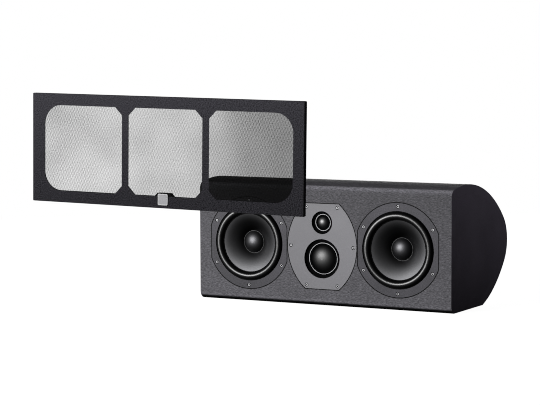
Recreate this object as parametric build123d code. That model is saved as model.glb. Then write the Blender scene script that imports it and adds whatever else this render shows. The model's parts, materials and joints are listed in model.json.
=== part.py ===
from build123d import *
import os
from math import cos, hypot, radians, sin, sqrt

# A center channel loudspeaker: a D-section cabinet, two woofers, a plate with a dome
# midrange and a dome tweeter, and its cloth grille shown taken off in front.
# Millimetres. X runs to the viewer's right, Y is depth behind the front face, Z is height
# above the base. The last step moves the origin to the middle of the flat base.

# Cabinet
CABINET_DEPTH = 277.0
END_MARGIN = 27.2
BASE_MARGIN = 25.8
TOP_MARGIN = 33.8
BASE_DEPTH = 153.0
FRONT_TOP_RADIUS = 14.0
FRONT_BOTTOM_RADIUS = 15.0
TOP_RADIUS = 270.0
CREST_DEPTH = 70.0
BACK_RADIUS = 65.0
LOWER_BACK_RADIUS = 240.0
ARRIS_RADIUS = 0.8
BAFFLE_THICKNESS = 22.0
WALL = 18.0
END_PANEL_THICKNESS = 18.0
BRACE_THICKNESS = 15.0
BRACE_CLEARANCE = 2.0
BRACE_RIM = 28.0
BRACE_WINDOW_RADIUS = 20.0
GLUE_LINE = 0.1
RECESS_CLEARANCE = 0.9
SHANK_CLEARANCE = 0.1

# Woofers
FLANGE_OPENING = 149.0
FLANGE_RIM = 15.2
FLANGE_FLAT_CUT = 6.2
FLANGE_THICKNESS = 5.0
SURROUND_SEAT_DEPTH = 2.5
WOOFER_SCREW_INSET = 6.7
WOOFER_SCREW_COUNT = 6
DRIVER_GAP = 3.0
BASKET_THROAT_STEP = 2.0
BASKET_WALL = 3.5
BASKET_RIM_DEPTH = 12.0
BASKET_DEPTH = 60.0
BASKET_FLOOR = 4.0
BASKET_FLOOR_OPENING = 60.0
BASKET_REAR_DIAMETER = 108.0
BASKET_REAR_HEIGHT = 10.0
SPIDER_LEDGE_WIDTH = 4.5
SPIDER_SEAT_DEPTH = 48.0
SPOKE_COUNT = 6
SPOKE_ANGLE = 16.0
ROLL_LIP_WIDTH = 2.5
ROLL_RADIUS = 6.5
RUBBER = 0.9
CONE_LIP_WIDTH = 2.2
CONE_THICKNESS = 1.2
CONE_DEPTH = 24.4
CONE_FLARE_RADIUS = 75.0
CONE_COLLAR_LENGTH = 3.0
DUST_CAP_RADIUS = 21.8
DUST_CAP_HEIGHT = 8.0
DUST_CAP_THICKNESS = 1.0
FORMER_RADIUS = 16.0
FORMER_THICKNESS = 0.7
WINDING_THICKNESS = 0.7
WINDING_LENGTH = 12.0
AIR_GAP = 0.8
SPIDER_THICKNESS = 0.8
SPIDER_WAVES = 5
SPIDER_WAVE_HEIGHT = 2.5
SPIDER_DROP = 5.0
TOP_PLATE_DIAMETER = 94.0
TOP_PLATE_THICKNESS = 6.0
MAGNET_DIAMETER = 100.0
MAGNET_BORE = 52.0
MAGNET_THICKNESS = 18.0
YOKE_THICKNESS = 7.0
POLE_VENT_DIAMETER = 10.0

# Plate that carries the midrange and the tweeter
PLATE_HEIGHT = 164.8
PLATE_WIDTH = 147.6
PLATE_FLAT_WIDTH = 72.0
PLATE_THICKNESS = 4.0
PLATE_CORNER_SCREW_INSET = 2.8
PLATE_END_SCREW_INSET = 6.7
PLATE_SIDE_SCREW_INSET = 6.6

# Dome midrange
MID_DROP = 23.9
MID_OPENING = 76.0
MID_FLANGE_RIM = 5.0
MID_HORN_STEP = 7.3
MID_THROAT_DEPTH = 6.0
MID_DOME_RIM = 2.3
MID_DOME_HEIGHT = 7.4
MID_ROLL_WIDTH = 3.0
MID_ROLL_RISE = 1.2
MID_RING_WIDTH = 1.1
MID_RING_HEIGHT = 1.6
MID_MOTOR_MARGIN = 11.5
MID_PLATE_THICKNESS = 5.0
MID_MAGNET_THICKNESS = 12.0
MID_YOKE_THICKNESS = 5.0
MID_MAGNET_WALL = 7.0
MID_CHAMBER_STEP = 4.0
MID_CHAMBER_LENGTH = 28.0
CHAMBER_WALL = 2.0

# Dome tweeter
DOME_GAP = 0.8
TWEETER_OPENING = 44.2
TWEETER_FLANGE_RIM = 3.9
TWEETER_HORN_STEP = 5.7
TWEETER_THROAT_DEPTH = 5.0
TWEETER_DOME_RIM = 1.3
TWEETER_DOME_HEIGHT = 5.0
TWEETER_ROLL_WIDTH = 2.4
TWEETER_ROLL_RISE = 1.0
TWEETER_RING_WIDTH = 1.0
TWEETER_RING_HEIGHT = 1.4
TWEETER_MOTOR_MARGIN = 11.0
TWEETER_PLATE_THICKNESS = 3.0
TWEETER_MAGNET_THICKNESS = 6.0
TWEETER_YOKE_THICKNESS = 4.0
TWEETER_MAGNET_WALL = 5.0
DOME_CLOTH = 0.5
DOME_SEAT = 1.2
COIL_WALL = 0.8
COIL_GAP = 0.6
COIL_REACH = 3.0

# Screws
SCREW_HEAD_DIAMETER = 6.2
SCREW_HEAD_HEIGHT = 2.6
SCREW_SHANK_DIAMETER = 3.6
SCREW_LENGTH = 15.0
SCREW_POINT = 3.0
HEAD_CLEARANCE = 0.7
HEAD_SINK = 0.4

# Crossover
BOARD_SIDE_CLEARANCE = 6.0
BOARD_REAR_CLEARANCE = 4.0
BOARD_WIRE_STRIP = 10.0
BOARD_PART_GAP = 4.0
BOARD_THICKNESS = 1.6
STANDOFF_DIAMETER = 8.0
STANDOFF_HEIGHT = 8.0
STANDOFF_INSET = 7.0
INDUCTOR_DIAMETER = 40.0
INDUCTOR_BORE = 18.0
INDUCTOR_HEIGHT = 18.0
CAPACITOR_DIAMETER = 16.0
CAPACITOR_LENGTH = 36.0
CAPACITOR_PITCH = 20.0
RESISTOR_LENGTH = 44.0
RESISTOR_SIZE = 9.0
RESISTOR_INSET = 1.0
RESISTOR_GAP = 6.0
WIRE_DIAMETER = 3.0
WIRE_BEND = 12.0
WIRE_INSET = 6.0
DOME_WIRE_X = 12.0
WOOFER_WIRE_X = 40.0
WOOFER_WIRE_RISE = 16.0

# Terminals
REAR_FLAT_DEPTH = 6.0
TERMINAL_WIDTH = 100.0
TERMINAL_HEIGHT = 50.0
TERMINAL_FLANGE = 3.0
CUP_WIDTH = 74.0
CUP_HEIGHT = 34.0
CUP_DEPTH = 24.0
CUP_WALL = 2.5
POST_SPACING = 38.0
POST_DIAMETER = 8.0
POST_LENGTH = 24.0
POST_COLLAR_DIAMETER = 13.0
POST_COLLAR_HEIGHT = 2.0
LUG_DIAMETER = 5.0
LUG_LENGTH = 12.0
SOCKET_DIAMETER = 4.0
SOCKET_DEPTH = 19.0
KNOB_DIAMETER = 16.0
KNOB_LENGTH = 19.0
KNOB_FLUTES = 12
KNOB_FLUTE_DIAMETER = 2.4
KNOB_CLEARANCE = 0.05
NUT_WIDTH = 9.0
NUT_HEIGHT = 4.0
TERMINAL_SCREW_INSET = 5.0

# Grille
GRILLE_REVEAL = 2.0
GRILLE_HEIGHT = 190.0
GRILLE_THICKNESS = 9.0
GRILLE_MARGIN = 20.0
GRILLE_MULLION = 8.0
GRILLE_CENTRE_WINDOW = 152.0
GRILLE_CORNER_RADIUS = 34.0
GRILLE_INNER_CHAMFER = 14.0
GRILLE_EDGE_RADIUS = 1.5
GRILLE_TAB_WIDTH = 36.0
GRILLE_TAB_TOP = 24.0
GRILLE_TAB_HEIGHT = 6.0
CLOTH_THICKNESS = 0.6
BADGE_SIZE = 21.0
BADGE_THICKNESS = 2.0
BADGE_CORNER = 3.0
BADGE_DROP = 80.0
MAGNET_DISC_DIAMETER = 10.0
MAGNET_DISC_THICKNESS = 2.5
MAGNET_DISC_INSET = 10.0
MAGNET_DISC_X = 80.0
MAGNET_SKIN = 1.5
GRILLE_SHIFT = -37.8
GRILLE_AHEAD = 521.4
GRILLE_LIFT = 205.9
GRILLE_TURN = 0.87

# Overall sizes and places that follow from the drivers
flange_diameter = FLANGE_OPENING + 2 * FLANGE_RIM
flange_width = flange_diameter - 2 * FLANGE_FLAT_CUT
woofer_screw_circle = flange_diameter - 2 * WOOFER_SCREW_INSET
throat_diameter = FLANGE_OPENING - 2 * BASKET_THROAT_STEP
woofer_offset = PLATE_WIDTH / 2 + DRIVER_GAP + flange_width / 2
driver_height = BASE_MARGIN + flange_diameter / 2
cabinet_width = 2 * woofer_offset + flange_width + 2 * END_MARGIN
cabinet_height = BASE_MARGIN + flange_diameter + TOP_MARGIN

# Centres of the cabinet's tangent arcs, as (depth, height)
top_centre = (CREST_DEPTH, cabinet_height - TOP_RADIUS)
front_top_height = top_centre[1] + sqrt(
    (TOP_RADIUS - FRONT_TOP_RADIUS) ** 2 - (CREST_DEPTH - FRONT_TOP_RADIUS) ** 2)
front_top_centre = (FRONT_TOP_RADIUS, front_top_height)
back_centre_depth = CABINET_DEPTH - BACK_RADIUS
back_centre_height = top_centre[1] + sqrt(
    (TOP_RADIUS - BACK_RADIUS) ** 2 - (back_centre_depth - CREST_DEPTH) ** 2)
back_centre = (back_centre_depth, back_centre_height)


def circle_crossing(centre_a, radius_a, centre_b, radius_b):
    """Upper crossing point of two circles, as (depth, height)."""
    apart = hypot(centre_b[0] - centre_a[0], centre_b[1] - centre_a[1])
    along = (radius_a ** 2 - radius_b ** 2 + apart ** 2) / (2 * apart)
    aside = sqrt(radius_a ** 2 - along ** 2)
    unit = ((centre_b[0] - centre_a[0]) / apart, (centre_b[1] - centre_a[1]) / apart)
    foot = (centre_a[0] + along * unit[0], centre_a[1] + along * unit[1])
    one = (foot[0] - aside * unit[1], foot[1] + aside * unit[0])
    other = (foot[0] + aside * unit[1], foot[1] - aside * unit[0])
    return max(one, other, key=lambda point: point[1])


lower_centre = circle_crossing(
    back_centre, LOWER_BACK_RADIUS - BACK_RADIUS, (BASE_DEPTH, 0.0), LOWER_BACK_RADIUS)

# Shared levels that follow from the sizes above
base_middle = (FRONT_BOTTOM_RADIUS + BASE_DEPTH) / 2
baffle_middle = (FRONT_BOTTOM_RADIUS + front_top_height) / 2
mid_height = driver_height - MID_DROP
mid_flange_radius = MID_OPENING / 2 + MID_FLANGE_RIM
tweeter_flange_radius = TWEETER_OPENING / 2 + TWEETER_FLANGE_RIM
tweeter_height = mid_height + mid_flange_radius + tweeter_flange_radius + DOME_GAP
rear_flat = CABINET_DEPTH - REAR_FLAT_DEPTH
cup_floor = rear_flat - CUP_DEPTH
former_outer = FORMER_RADIUS + FORMER_THICKNESS
winding_outer = former_outer + WINDING_THICKNESS
motor_front = BASKET_DEPTH
magnet_front = motor_front + TOP_PLATE_THICKNESS
yoke_front = magnet_front + MAGNET_THICKNESS
counterbore_diameter = SCREW_HEAD_DIAMETER + 2 * HEAD_CLEARANCE
counterbore_depth = SCREW_HEAD_HEIGHT + HEAD_SINK
screw_reach = counterbore_depth + SCREW_LENGTH + HEAD_SINK
brace_outer = woofer_offset - throat_diameter / 2 - BRACE_CLEARANCE
grille_width = cabinet_width - 2 * GRILLE_REVEAL
roll_centre = FLANGE_OPENING / 2 - ROLL_LIP_WIDTH - ROLL_RADIUS
cone_rim_radius = roll_centre - ROLL_RADIUS
cone_rim_depth = SURROUND_SEAT_DEPTH + GLUE_LINE
cone_neck_radius = former_outer + GLUE_LINE
cone_edge_radius = cone_rim_radius - CONE_LIP_WIDTH
cone_neck_depth = cone_rim_depth + CONE_DEPTH


def toward(centre, point, radius):
    """Point at a radius from a centre, in the direction of another point."""
    reach = hypot(point[0] - centre[0], point[1] - centre[1])
    return (centre[0] + radius * (point[0] - centre[0]) / reach,
            centre[1] + radius * (point[1] - centre[1]) / reach)


def side_point(point):
    """A (depth, height) pair as a point in the cabinet's middle plane."""
    return (0.0, point[0], point[1])


def side_arc(centre, radius, start, end):
    """Arc of under half a turn in the cabinet's middle plane."""
    middle = ((start[0] + end[0]) / 2, (start[1] + end[1]) / 2)
    crown = toward(centre, middle, radius)
    return ThreePointArc(side_point(start), side_point(crown), side_point(end))


def side_line(start, end):
    """Straight edge in the cabinet's middle plane."""
    return Line(side_point(start), side_point(end))


def outer_profile():
    """The cabinet's D section, with its rounded front edges."""
    top_start = toward(top_centre, front_top_centre, TOP_RADIUS)
    top_end = toward(top_centre, back_centre, TOP_RADIUS)
    back_end = toward(lower_centre, back_centre, LOWER_BACK_RADIUS)
    front_top = (0.0, front_top_height)
    rear_corner = (BASE_DEPTH, 0.0)
    base_front = (FRONT_BOTTOM_RADIUS, 0.0)
    front_bottom = (0.0, FRONT_BOTTOM_RADIUS)
    round_centre = (FRONT_BOTTOM_RADIUS, FRONT_BOTTOM_RADIUS)
    edges = [
        side_line(front_bottom, front_top),
        side_arc(front_top_centre, FRONT_TOP_RADIUS, front_top, top_start),
        side_arc(top_centre, TOP_RADIUS, top_start, top_end),
        side_arc(back_centre, BACK_RADIUS, top_end, back_end),
        side_arc(lower_centre, LOWER_BACK_RADIUS, back_end, rear_corner),
        side_line(rear_corner, base_front),
        side_arc(round_centre, FRONT_BOTTOM_RADIUS, base_front, front_bottom),
    ]
    return make_face(edges)


def floor_end(inset):
    """Depth at which the hollow's lower back meets its floor."""
    lower = LOWER_BACK_RADIUS - inset
    return lower_centre[0] + sqrt(lower ** 2 - (inset - lower_centre[1]) ** 2)


def inner_profile(gap):
    """The hollow behind the baffle and above the bottom panel, less a gap all round."""
    inset = WALL + gap
    front = BAFFLE_THICKNESS + gap
    top = TOP_RADIUS - inset
    lower = LOWER_BACK_RADIUS - inset
    start = (front, top_centre[1] + sqrt(top ** 2 - (front - top_centre[0]) ** 2))
    top_end = toward(top_centre, back_centre, top)
    back_end = toward(lower_centre, back_centre, lower)
    end = (floor_end(inset), inset)
    corner = (front, inset)
    edges = [
        side_arc(top_centre, top, start, top_end),
        side_arc(back_centre, BACK_RADIUS - inset, top_end, back_end),
        side_arc(lower_centre, lower, back_end, end),
        side_line(end, corner),
        side_line(corner, start),
    ]
    return make_face(edges)


def block(x_span, y_span, z_span):
    """Box between two limits on each axis."""
    sizes = [high - low for low, high in (x_span, y_span, z_span)]
    middle = [(high + low) / 2 for low, high in (x_span, y_span, z_span)]
    return Pos(*middle) * Box(*sizes)


def rod(x, height, front, back, radius):
    """Round bar along the depth axis."""
    bar = Cylinder(radius, back - front, align=(Align.CENTER, Align.CENTER, Align.MIN))
    return Location((x, front, height), (-90, 0, 0)) * bar


def at_driver(x, height):
    """Place of a turned driver piece, facing out of the baffle."""
    return Location((x, 0, height), (90, 0, 0))


def section_point(point):
    """A (radius, depth) pair as a point of a turned piece's section."""
    return (point[0], 0.0, -point[1])


def section_arc(start, crown, end):
    """Arc through three (radius, depth) points."""
    return ThreePointArc(section_point(start), section_point(crown), section_point(end))


def section_lines(*points):
    """Open run of straight edges through (radius, depth) points."""
    return Polyline(*[section_point(point) for point in points])


def turned(*edges):
    """Solid of revolution about the driver's axis from the edges of its section."""
    return revolve(make_face(edges), Axis.Z, 360)


def turned_polygon(*points):
    """Solid of revolution whose section has straight edges only."""
    return turned(section_lines(*points, points[0]))


def ring(inner, outer, front, back):
    """Plain turned ring, or a disc where the inner radius is nought."""
    return turned_polygon((inner, front), (outer, front), (outer, back), (inner, back))


def circle_points(radius, count, first_angle):
    """Evenly spaced points on a circle, as (x, z) pairs."""
    angles = [radians(first_angle + 360 / count * index) for index in range(count)]
    return [(radius * cos(angle), radius * sin(angle)) for angle in angles]


def woofer_screw_places(x):
    """Screw centres of one woofer on the baffle, as (x, height) pairs."""
    around = circle_points(woofer_screw_circle / 2, WOOFER_SCREW_COUNT, 90)
    return [(x + dx, driver_height + dz) for dx, dz in around]


def plate_screw_places():
    """Screw centres of the driver plate on the baffle, as (x, height) pairs."""
    corner_x = PLATE_FLAT_WIDTH / 2 - PLATE_CORNER_SCREW_INSET
    corner_z = PLATE_HEIGHT / 2 - PLATE_END_SCREW_INSET
    side_x = PLATE_WIDTH / 2 - PLATE_SIDE_SCREW_INSET
    corners = [(sx * corner_x, sz * corner_z) for sx in (-1, 1) for sz in (-1, 1)]
    sides = [(-side_x, 0.0), (side_x, 0.0)]
    return [(x, driver_height + z) for x, z in corners + sides]


def terminal_screw_places():
    """Screw centres of the terminal cup on the back, as (x, height) pairs."""
    x = TERMINAL_WIDTH / 2 - TERMINAL_SCREW_INSET
    z = TERMINAL_HEIGHT / 2 - TERMINAL_SCREW_INSET
    return [(sx * x, back_centre_height + sz * z) for sx in (-1, 1) for sz in (-1, 1)]


def magnet_places():
    """Centres of the grille's holding magnets, from the middle of the grille."""
    z = GRILLE_HEIGHT / 2 - MAGNET_DISC_INSET
    outer = grille_width / 2 - MAGNET_DISC_INSET
    return [(sx * x, sz * z) for x in (MAGNET_DISC_X, outer) for sx in (-1, 1) for sz in (-1, 1)]


def screw():
    """Socket screw with its head's top at the origin and its point along +Z."""
    head = SCREW_HEAD_DIAMETER / 2
    shank = SCREW_SHANK_DIAMETER / 2
    tip = SCREW_HEAD_HEIGHT + SCREW_LENGTH
    outline = Polyline((0, 0, 0), (head, 0, 0), (head, 0, SCREW_HEAD_HEIGHT),
                       (shank, 0, SCREW_HEAD_HEIGHT), (shank, 0, tip - SCREW_POINT),
                       (0, 0, tip), (0, 0, 0))
    return revolve(make_face(outline), Axis.Z, 360)


def screw_set(places, head_depth, inward):
    """Group of screws that go in along the depth axis, one way or the other."""
    turn = -90 if inward else 90
    return Compound(children=[Location((x, head_depth, z), (turn, 0, 0)) * screw()
                              for x, z in places])


def flange_outline(grow, depth):
    """Woofer flange with its two flat sides, grown all round, as a block of a depth."""
    disc = rod(0, 0, 0, depth, flange_diameter / 2 + grow)
    half = flange_width / 2 + grow
    tall = flange_diameter / 2 + grow
    return disc & block((-half, half), (0, depth), (-tall, tall))


def plate_outline(grow, depth):
    """Driver plate with flat ends and bowed sides, grown all round."""
    flat = PLATE_FLAT_WIDTH / 2 + grow
    tall = PLATE_HEIGHT / 2 + grow
    bow = PLATE_WIDTH / 2 + grow
    edges = [
        Line((-flat, 0, tall), (flat, 0, tall)),
        ThreePointArc((flat, 0, tall), (bow, 0, 0), (flat, 0, -tall)),
        Line((flat, 0, -tall), (-flat, 0, -tall)),
        ThreePointArc((-flat, 0, -tall), (-bow, 0, 0), (-flat, 0, tall)),
    ]
    return extrude(make_face(edges), depth, dir=(0, 1, 0))


def cabinet_body():
    """Solid D block of the cabinet with its end edges eased."""
    body = extrude(outer_profile(), cabinet_width / 2, dir=(1, 0, 0), both=True)
    ends = body.faces().sort_by(Axis.X)
    return fillet(ends[0].edges() + ends[-1].edges(), ARRIS_RADIUS)


def front_baffle(body):
    """Front board with the driver recesses, through holes and screw holes."""
    half = cabinet_width / 2
    board = body & block((-half, half), (0, BAFFLE_THICKNESS), (0, cabinet_height))
    shank = SCREW_SHANK_DIAMETER / 2 + SHANK_CLEARANCE
    for x in (-woofer_offset, woofer_offset):
        board -= Pos(x, 0, driver_height) * flange_outline(RECESS_CLEARANCE, FLANGE_THICKNESS)
        throat = throat_diameter / 2 + RECESS_CLEARANCE
        board -= rod(x, driver_height, 0, BAFFLE_THICKNESS, throat)
        for sx, sz in woofer_screw_places(x):
            board -= rod(sx, sz, 0, screw_reach, shank)
    board -= Pos(0, 0, driver_height) * plate_outline(RECESS_CLEARANCE, PLATE_THICKNESS)
    lower = mid_flange_radius + RECESS_CLEARANCE
    upper = tweeter_flange_radius + RECESS_CLEARANCE
    board -= rod(0, mid_height, 0, BAFFLE_THICKNESS, lower)
    board -= rod(0, tweeter_height, 0, BAFFLE_THICKNESS, upper)
    board -= block((-upper, upper), (0, BAFFLE_THICKNESS), (mid_height, tweeter_height))
    for x, z in plate_screw_places():
        board -= rod(x, z, 0, screw_reach, shank)
    pocket = MAGNET_DISC_DIAMETER / 2 + GLUE_LINE
    for x, z in magnet_places():
        board -= rod(x, baffle_middle + z, MAGNET_SKIN, BAFFLE_THICKNESS, pocket)
    return board


def bottom_panel(body):
    """Floor of the cabinet, from the baffle to the rear edge of the base."""
    half = cabinet_width / 2
    return body & block((-half, half), (BAFFLE_THICKNESS, CABINET_DEPTH), (0, WALL))


def cabinet_shell(body):
    """Bent wall over the top and down the back, with the seat for the terminals."""
    half = cabinet_width / 2
    wall = body & block((-half, half), (BAFFLE_THICKNESS, CABINET_DEPTH), (WALL, cabinet_height))
    wall -= extrude(inner_profile(0), half, dir=(1, 0, 0), both=True)
    seat_x = TERMINAL_WIDTH / 2 + RECESS_CLEARANCE
    seat_z = TERMINAL_HEIGHT / 2 + RECESS_CLEARANCE
    z = back_centre_height
    wall -= block((-seat_x, seat_x), (rear_flat, CABINET_DEPTH), (z - seat_z, z + seat_z))
    hole_x = CUP_WIDTH / 2 + CUP_WALL + RECESS_CLEARANCE
    hole_z = CUP_HEIGHT / 2 + CUP_WALL + RECESS_CLEARANCE
    wall -= block((-hole_x, hole_x), (cup_floor - WALL, rear_flat), (z - hole_z, z + hole_z))
    shank = SCREW_SHANK_DIAMETER / 2 + SHANK_CLEARANCE
    for sx, sz in terminal_screw_places():
        wall -= rod(sx, sz, rear_flat + TERMINAL_FLANGE - screw_reach, rear_flat, shank)
    return wall


def end_panel(side):
    """Flush D-shaped board that closes one end of the cabinet."""
    board = extrude(inner_profile(GLUE_LINE), END_PANEL_THICKNESS, dir=(1, 0, 0))
    outer = cabinet_width / 2
    return Pos(outer - END_PANEL_THICKNESS if side > 0 else -outer, 0, 0) * board


def brace(side):
    """Upright board beside the driver plate, with a window that leaves an even rim."""
    board = extrude(inner_profile(GLUE_LINE), BRACE_THICKNESS / 2, dir=(1, 0, 0), both=True)
    window = inner_profile(GLUE_LINE + BRACE_RIM)
    front_corners = window.vertices().group_by(Axis.Y)[0]
    window = fillet(front_corners, BRACE_WINDOW_RADIUS)
    board -= extrude(window, BRACE_THICKNESS / 2, dir=(1, 0, 0), both=True)
    return Pos(side * (brace_outer - BRACE_THICKNESS / 2), 0, 0) * board


def basket():
    """Cast woofer frame: flange, spokes, spider ledge and motor seat."""
    flange = flange_diameter / 2
    throat = throat_diameter / 2
    rear = BASKET_REAR_DIAMETER / 2
    rear_inner = rear - BASKET_WALL
    ledge = rear_inner - SPIDER_LEDGE_WIDTH
    rear_top = BASKET_DEPTH - BASKET_REAR_HEIGHT
    floor_top = BASKET_DEPTH - BASKET_FLOOR
    frame = turned_polygon(
        (flange, 0), (flange, FLANGE_THICKNESS), (throat, FLANGE_THICKNESS),
        (throat, BASKET_RIM_DEPTH), (rear, rear_top), (rear, BASKET_DEPTH),
        (BASKET_FLOOR_OPENING / 2, BASKET_DEPTH), (BASKET_FLOOR_OPENING / 2, floor_top),
        (ledge, floor_top), (ledge, SPIDER_SEAT_DEPTH), (rear_inner, SPIDER_SEAT_DEPTH),
        (throat - BASKET_WALL, BASKET_RIM_DEPTH), (throat - BASKET_WALL, SURROUND_SEAT_DEPTH),
        (FLANGE_OPENING / 2, SURROUND_SEAT_DEPTH), (FLANGE_OPENING / 2, 0))
    pitch = 360 / SPOKE_COUNT
    half_angle = (pitch - SPOKE_ANGLE) / 2
    window_top = BASKET_RIM_DEPTH + BASKET_WALL
    window_end = SPIDER_SEAT_DEPTH - BASKET_WALL
    for index in range(SPOKE_COUNT):
        corners = []
        for reach, angle in ((ledge, -half_angle), (flange, -half_angle),
                             (flange, half_angle), (ledge, half_angle)):
            turn = radians(pitch * (index + 0.5) + 90 + angle)
            corners.append((reach * cos(turn), reach * sin(turn), -window_end))
        window = make_face(Polyline(*corners, corners[0]))
        frame -= extrude(window, window_end - window_top, dir=(0, 0, 1))
    frame = Location((0, 0, 0), (90, 0, 0)) * frame
    half = flange_width / 2
    frame = frame & block((-half, half), (0, BASKET_DEPTH), (-flange, flange))
    for x, z in circle_points(woofer_screw_circle / 2, WOOFER_SCREW_COUNT, 90):
        frame -= rod(x, z, 0, counterbore_depth, counterbore_diameter / 2)
        frame -= rod(x, z, 0, FLANGE_THICKNESS, SCREW_SHANK_DIAMETER / 2 + SHANK_CLEARANCE)
    return frame


def surround():
    """Half-roll rubber edge between the flange and the cone."""
    seat = SURROUND_SEAT_DEPTH
    top = seat - RUBBER
    outer = ROLL_RADIUS + RUBBER / 2
    inner = ROLL_RADIUS - RUBBER / 2
    lip = FLANGE_OPENING / 2 - GLUE_LINE
    centre = roll_centre
    return turned(
        section_lines((lip, top), (centre + outer, top)),
        section_arc((centre + outer, top), (centre, top - outer), (centre - outer, top)),
        section_lines((centre - outer, top), (cone_edge_radius, top), (cone_edge_radius, seat),
                      (centre - inner, seat)),
        section_arc((centre - inner, seat), (centre, top - inner), (centre + inner, seat)),
        section_lines((centre + inner, seat), (lip, seat), (lip, top)))


def cone_centre():
    """Centre of the arc that the cone's front follows, as (radius, depth)."""
    run = cone_edge_radius - cone_neck_radius
    chord = hypot(run, CONE_DEPTH)
    rise = sqrt(CONE_FLARE_RADIUS ** 2 - (chord / 2) ** 2)
    return ((cone_edge_radius + cone_neck_radius) / 2 + rise * CONE_DEPTH / chord,
            (cone_rim_depth + cone_neck_depth) / 2 + rise * run / chord)


def cone_front(radius):
    """Depth of the cone's front face at a radius."""
    centre = cone_centre()
    return centre[1] - sqrt(CONE_FLARE_RADIUS ** 2 - (radius - centre[0]) ** 2)


def cone():
    """Flared woofer cone with a flat rim and a collar round the coil former."""
    middle = (cone_edge_radius + cone_neck_radius) / 2
    collar = cone_neck_radius + CONE_THICKNESS
    thick = CONE_THICKNESS
    back = cone_rim_depth + thick
    rim = cone_rim_radius + CONE_LIP_WIDTH / 2
    collar_end = cone_neck_depth + CONE_COLLAR_LENGTH
    return turned(
        section_lines((rim, cone_rim_depth), (cone_edge_radius, cone_rim_depth)),
        section_arc((cone_edge_radius, cone_rim_depth), (middle, cone_front(middle)),
                    (cone_neck_radius, cone_neck_depth)),
        section_lines((cone_neck_radius, cone_neck_depth), (cone_neck_radius, collar_end),
                      (collar, collar_end), (collar, cone_front(collar) + thick)),
        section_arc((collar, cone_front(collar) + thick), (middle, cone_front(middle) + thick),
                    (cone_edge_radius, back)),
        section_lines((cone_edge_radius, back), (rim, back), (rim, cone_rim_depth)))


def cap_arc(radius, height, base, outward):
    """Round crown of a dome from its axis to its edge, or back."""
    ball = (radius ** 2 + height ** 2) / (2 * height)
    middle = (radius / 2, base - height + ball - sqrt(ball ** 2 - (radius / 2) ** 2))
    start = (0.0, base - height)
    end = (radius, base)
    return section_arc(start, middle, end) if outward else section_arc(end, middle, start)


def dust_cap():
    """Convex cap glued to the front of the cone."""
    base = cone_front(DUST_CAP_RADIUS) - GLUE_LINE
    inner = DUST_CAP_RADIUS - DUST_CAP_THICKNESS
    top = base - DUST_CAP_HEIGHT
    inner_top = top + DUST_CAP_THICKNESS
    return turned(
        cap_arc(DUST_CAP_RADIUS, DUST_CAP_HEIGHT, base, True),
        section_lines((DUST_CAP_RADIUS, base), (inner, base)),
        cap_arc(inner, base - inner_top, base, False),
        section_lines((0, inner_top), (0, top)))


def voice_coil():
    """Coil former with its winding, centred in the motor's gap."""
    gap_middle = motor_front + TOP_PLATE_THICKNESS / 2
    top = gap_middle - WINDING_LENGTH / 2
    bottom = gap_middle + WINDING_LENGTH / 2
    start = cone_neck_depth
    return turned_polygon(
        (FORMER_RADIUS, start), (former_outer, start), (former_outer, top),
        (winding_outer, top), (winding_outer, bottom), (FORMER_RADIUS, bottom))


def spider():
    """Corrugated cloth disc that centres the coil, seated on the basket's ledge."""
    outer = BASKET_REAR_DIAMETER / 2 - BASKET_WALL - GLUE_LINE
    inner = former_outer + GLUE_LINE
    seat = SPIDER_SEAT_DEPTH - GLUE_LINE - SPIDER_THICKNESS
    lip = outer - SPIDER_LEDGE_WIDTH
    collar = inner + SPIDER_LEDGE_WIDTH
    steps = SPIDER_WAVES * 2
    face = [(outer, seat), (lip, seat)]
    for index in range(1, steps):
        share = index / steps
        wave = SPIDER_WAVE_HEIGHT / 2 * (-1) ** index
        face.append((lip + (collar - lip) * share, seat - SPIDER_DROP * share + wave))
    face += [(collar, seat - SPIDER_DROP), (inner, seat - SPIDER_DROP)]
    back = [(radius, depth + SPIDER_THICKNESS) for radius, depth in reversed(face)]
    return turned_polygon(*face, *back)


def woofer_top_plate():
    """Front pole plate of the woofer's motor."""
    bore = winding_outer + AIR_GAP
    return ring(bore, TOP_PLATE_DIAMETER / 2, motor_front, magnet_front)


def woofer_magnet():
    """Ferrite ring magnet of the woofer."""
    return ring(MAGNET_BORE / 2, MAGNET_DIAMETER / 2, magnet_front, yoke_front)


def woofer_yoke():
    """Back plate and vented pole, turned from one piece."""
    pole = FORMER_RADIUS - AIR_GAP
    end = yoke_front + YOKE_THICKNESS
    vent = POLE_VENT_DIAMETER / 2
    return turned_polygon(
        (vent, motor_front), (pole, motor_front), (pole, yoke_front),
        (TOP_PLATE_DIAMETER / 2, yoke_front), (TOP_PLATE_DIAMETER / 2, end), (vent, end))


def driver_plate():
    """Aluminium plate with the midrange and tweeter openings and counterbored holes."""
    plate = Pos(0, 0, driver_height) * plate_outline(0.0, PLATE_THICKNESS)
    plate -= rod(0, mid_height, 0, PLATE_THICKNESS, MID_OPENING / 2)
    plate -= rod(0, tweeter_height, 0, PLATE_THICKNESS, TWEETER_OPENING / 2)
    for x, z in plate_screw_places():
        plate -= rod(x, z, 0, counterbore_depth, counterbore_diameter / 2)
        plate -= rod(x, z, 0, PLATE_THICKNESS, SCREW_SHANK_DIAMETER / 2 + SHANK_CLEARANCE)
    return plate


def dome_flange(unit):
    """Black moulded ring with a short horn and a ledge under the dome's rim."""
    ledge = unit.base + DOME_CLOTH
    bore = unit.radius + unit.roll
    return turned_polygon(
        (unit.opening, PLATE_THICKNESS), (unit.outer, PLATE_THICKNESS),
        (unit.outer, unit.motor_front), (bore, unit.motor_front), (bore, ledge),
        (unit.throat, ledge), (unit.throat, unit.throat_depth))


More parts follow.
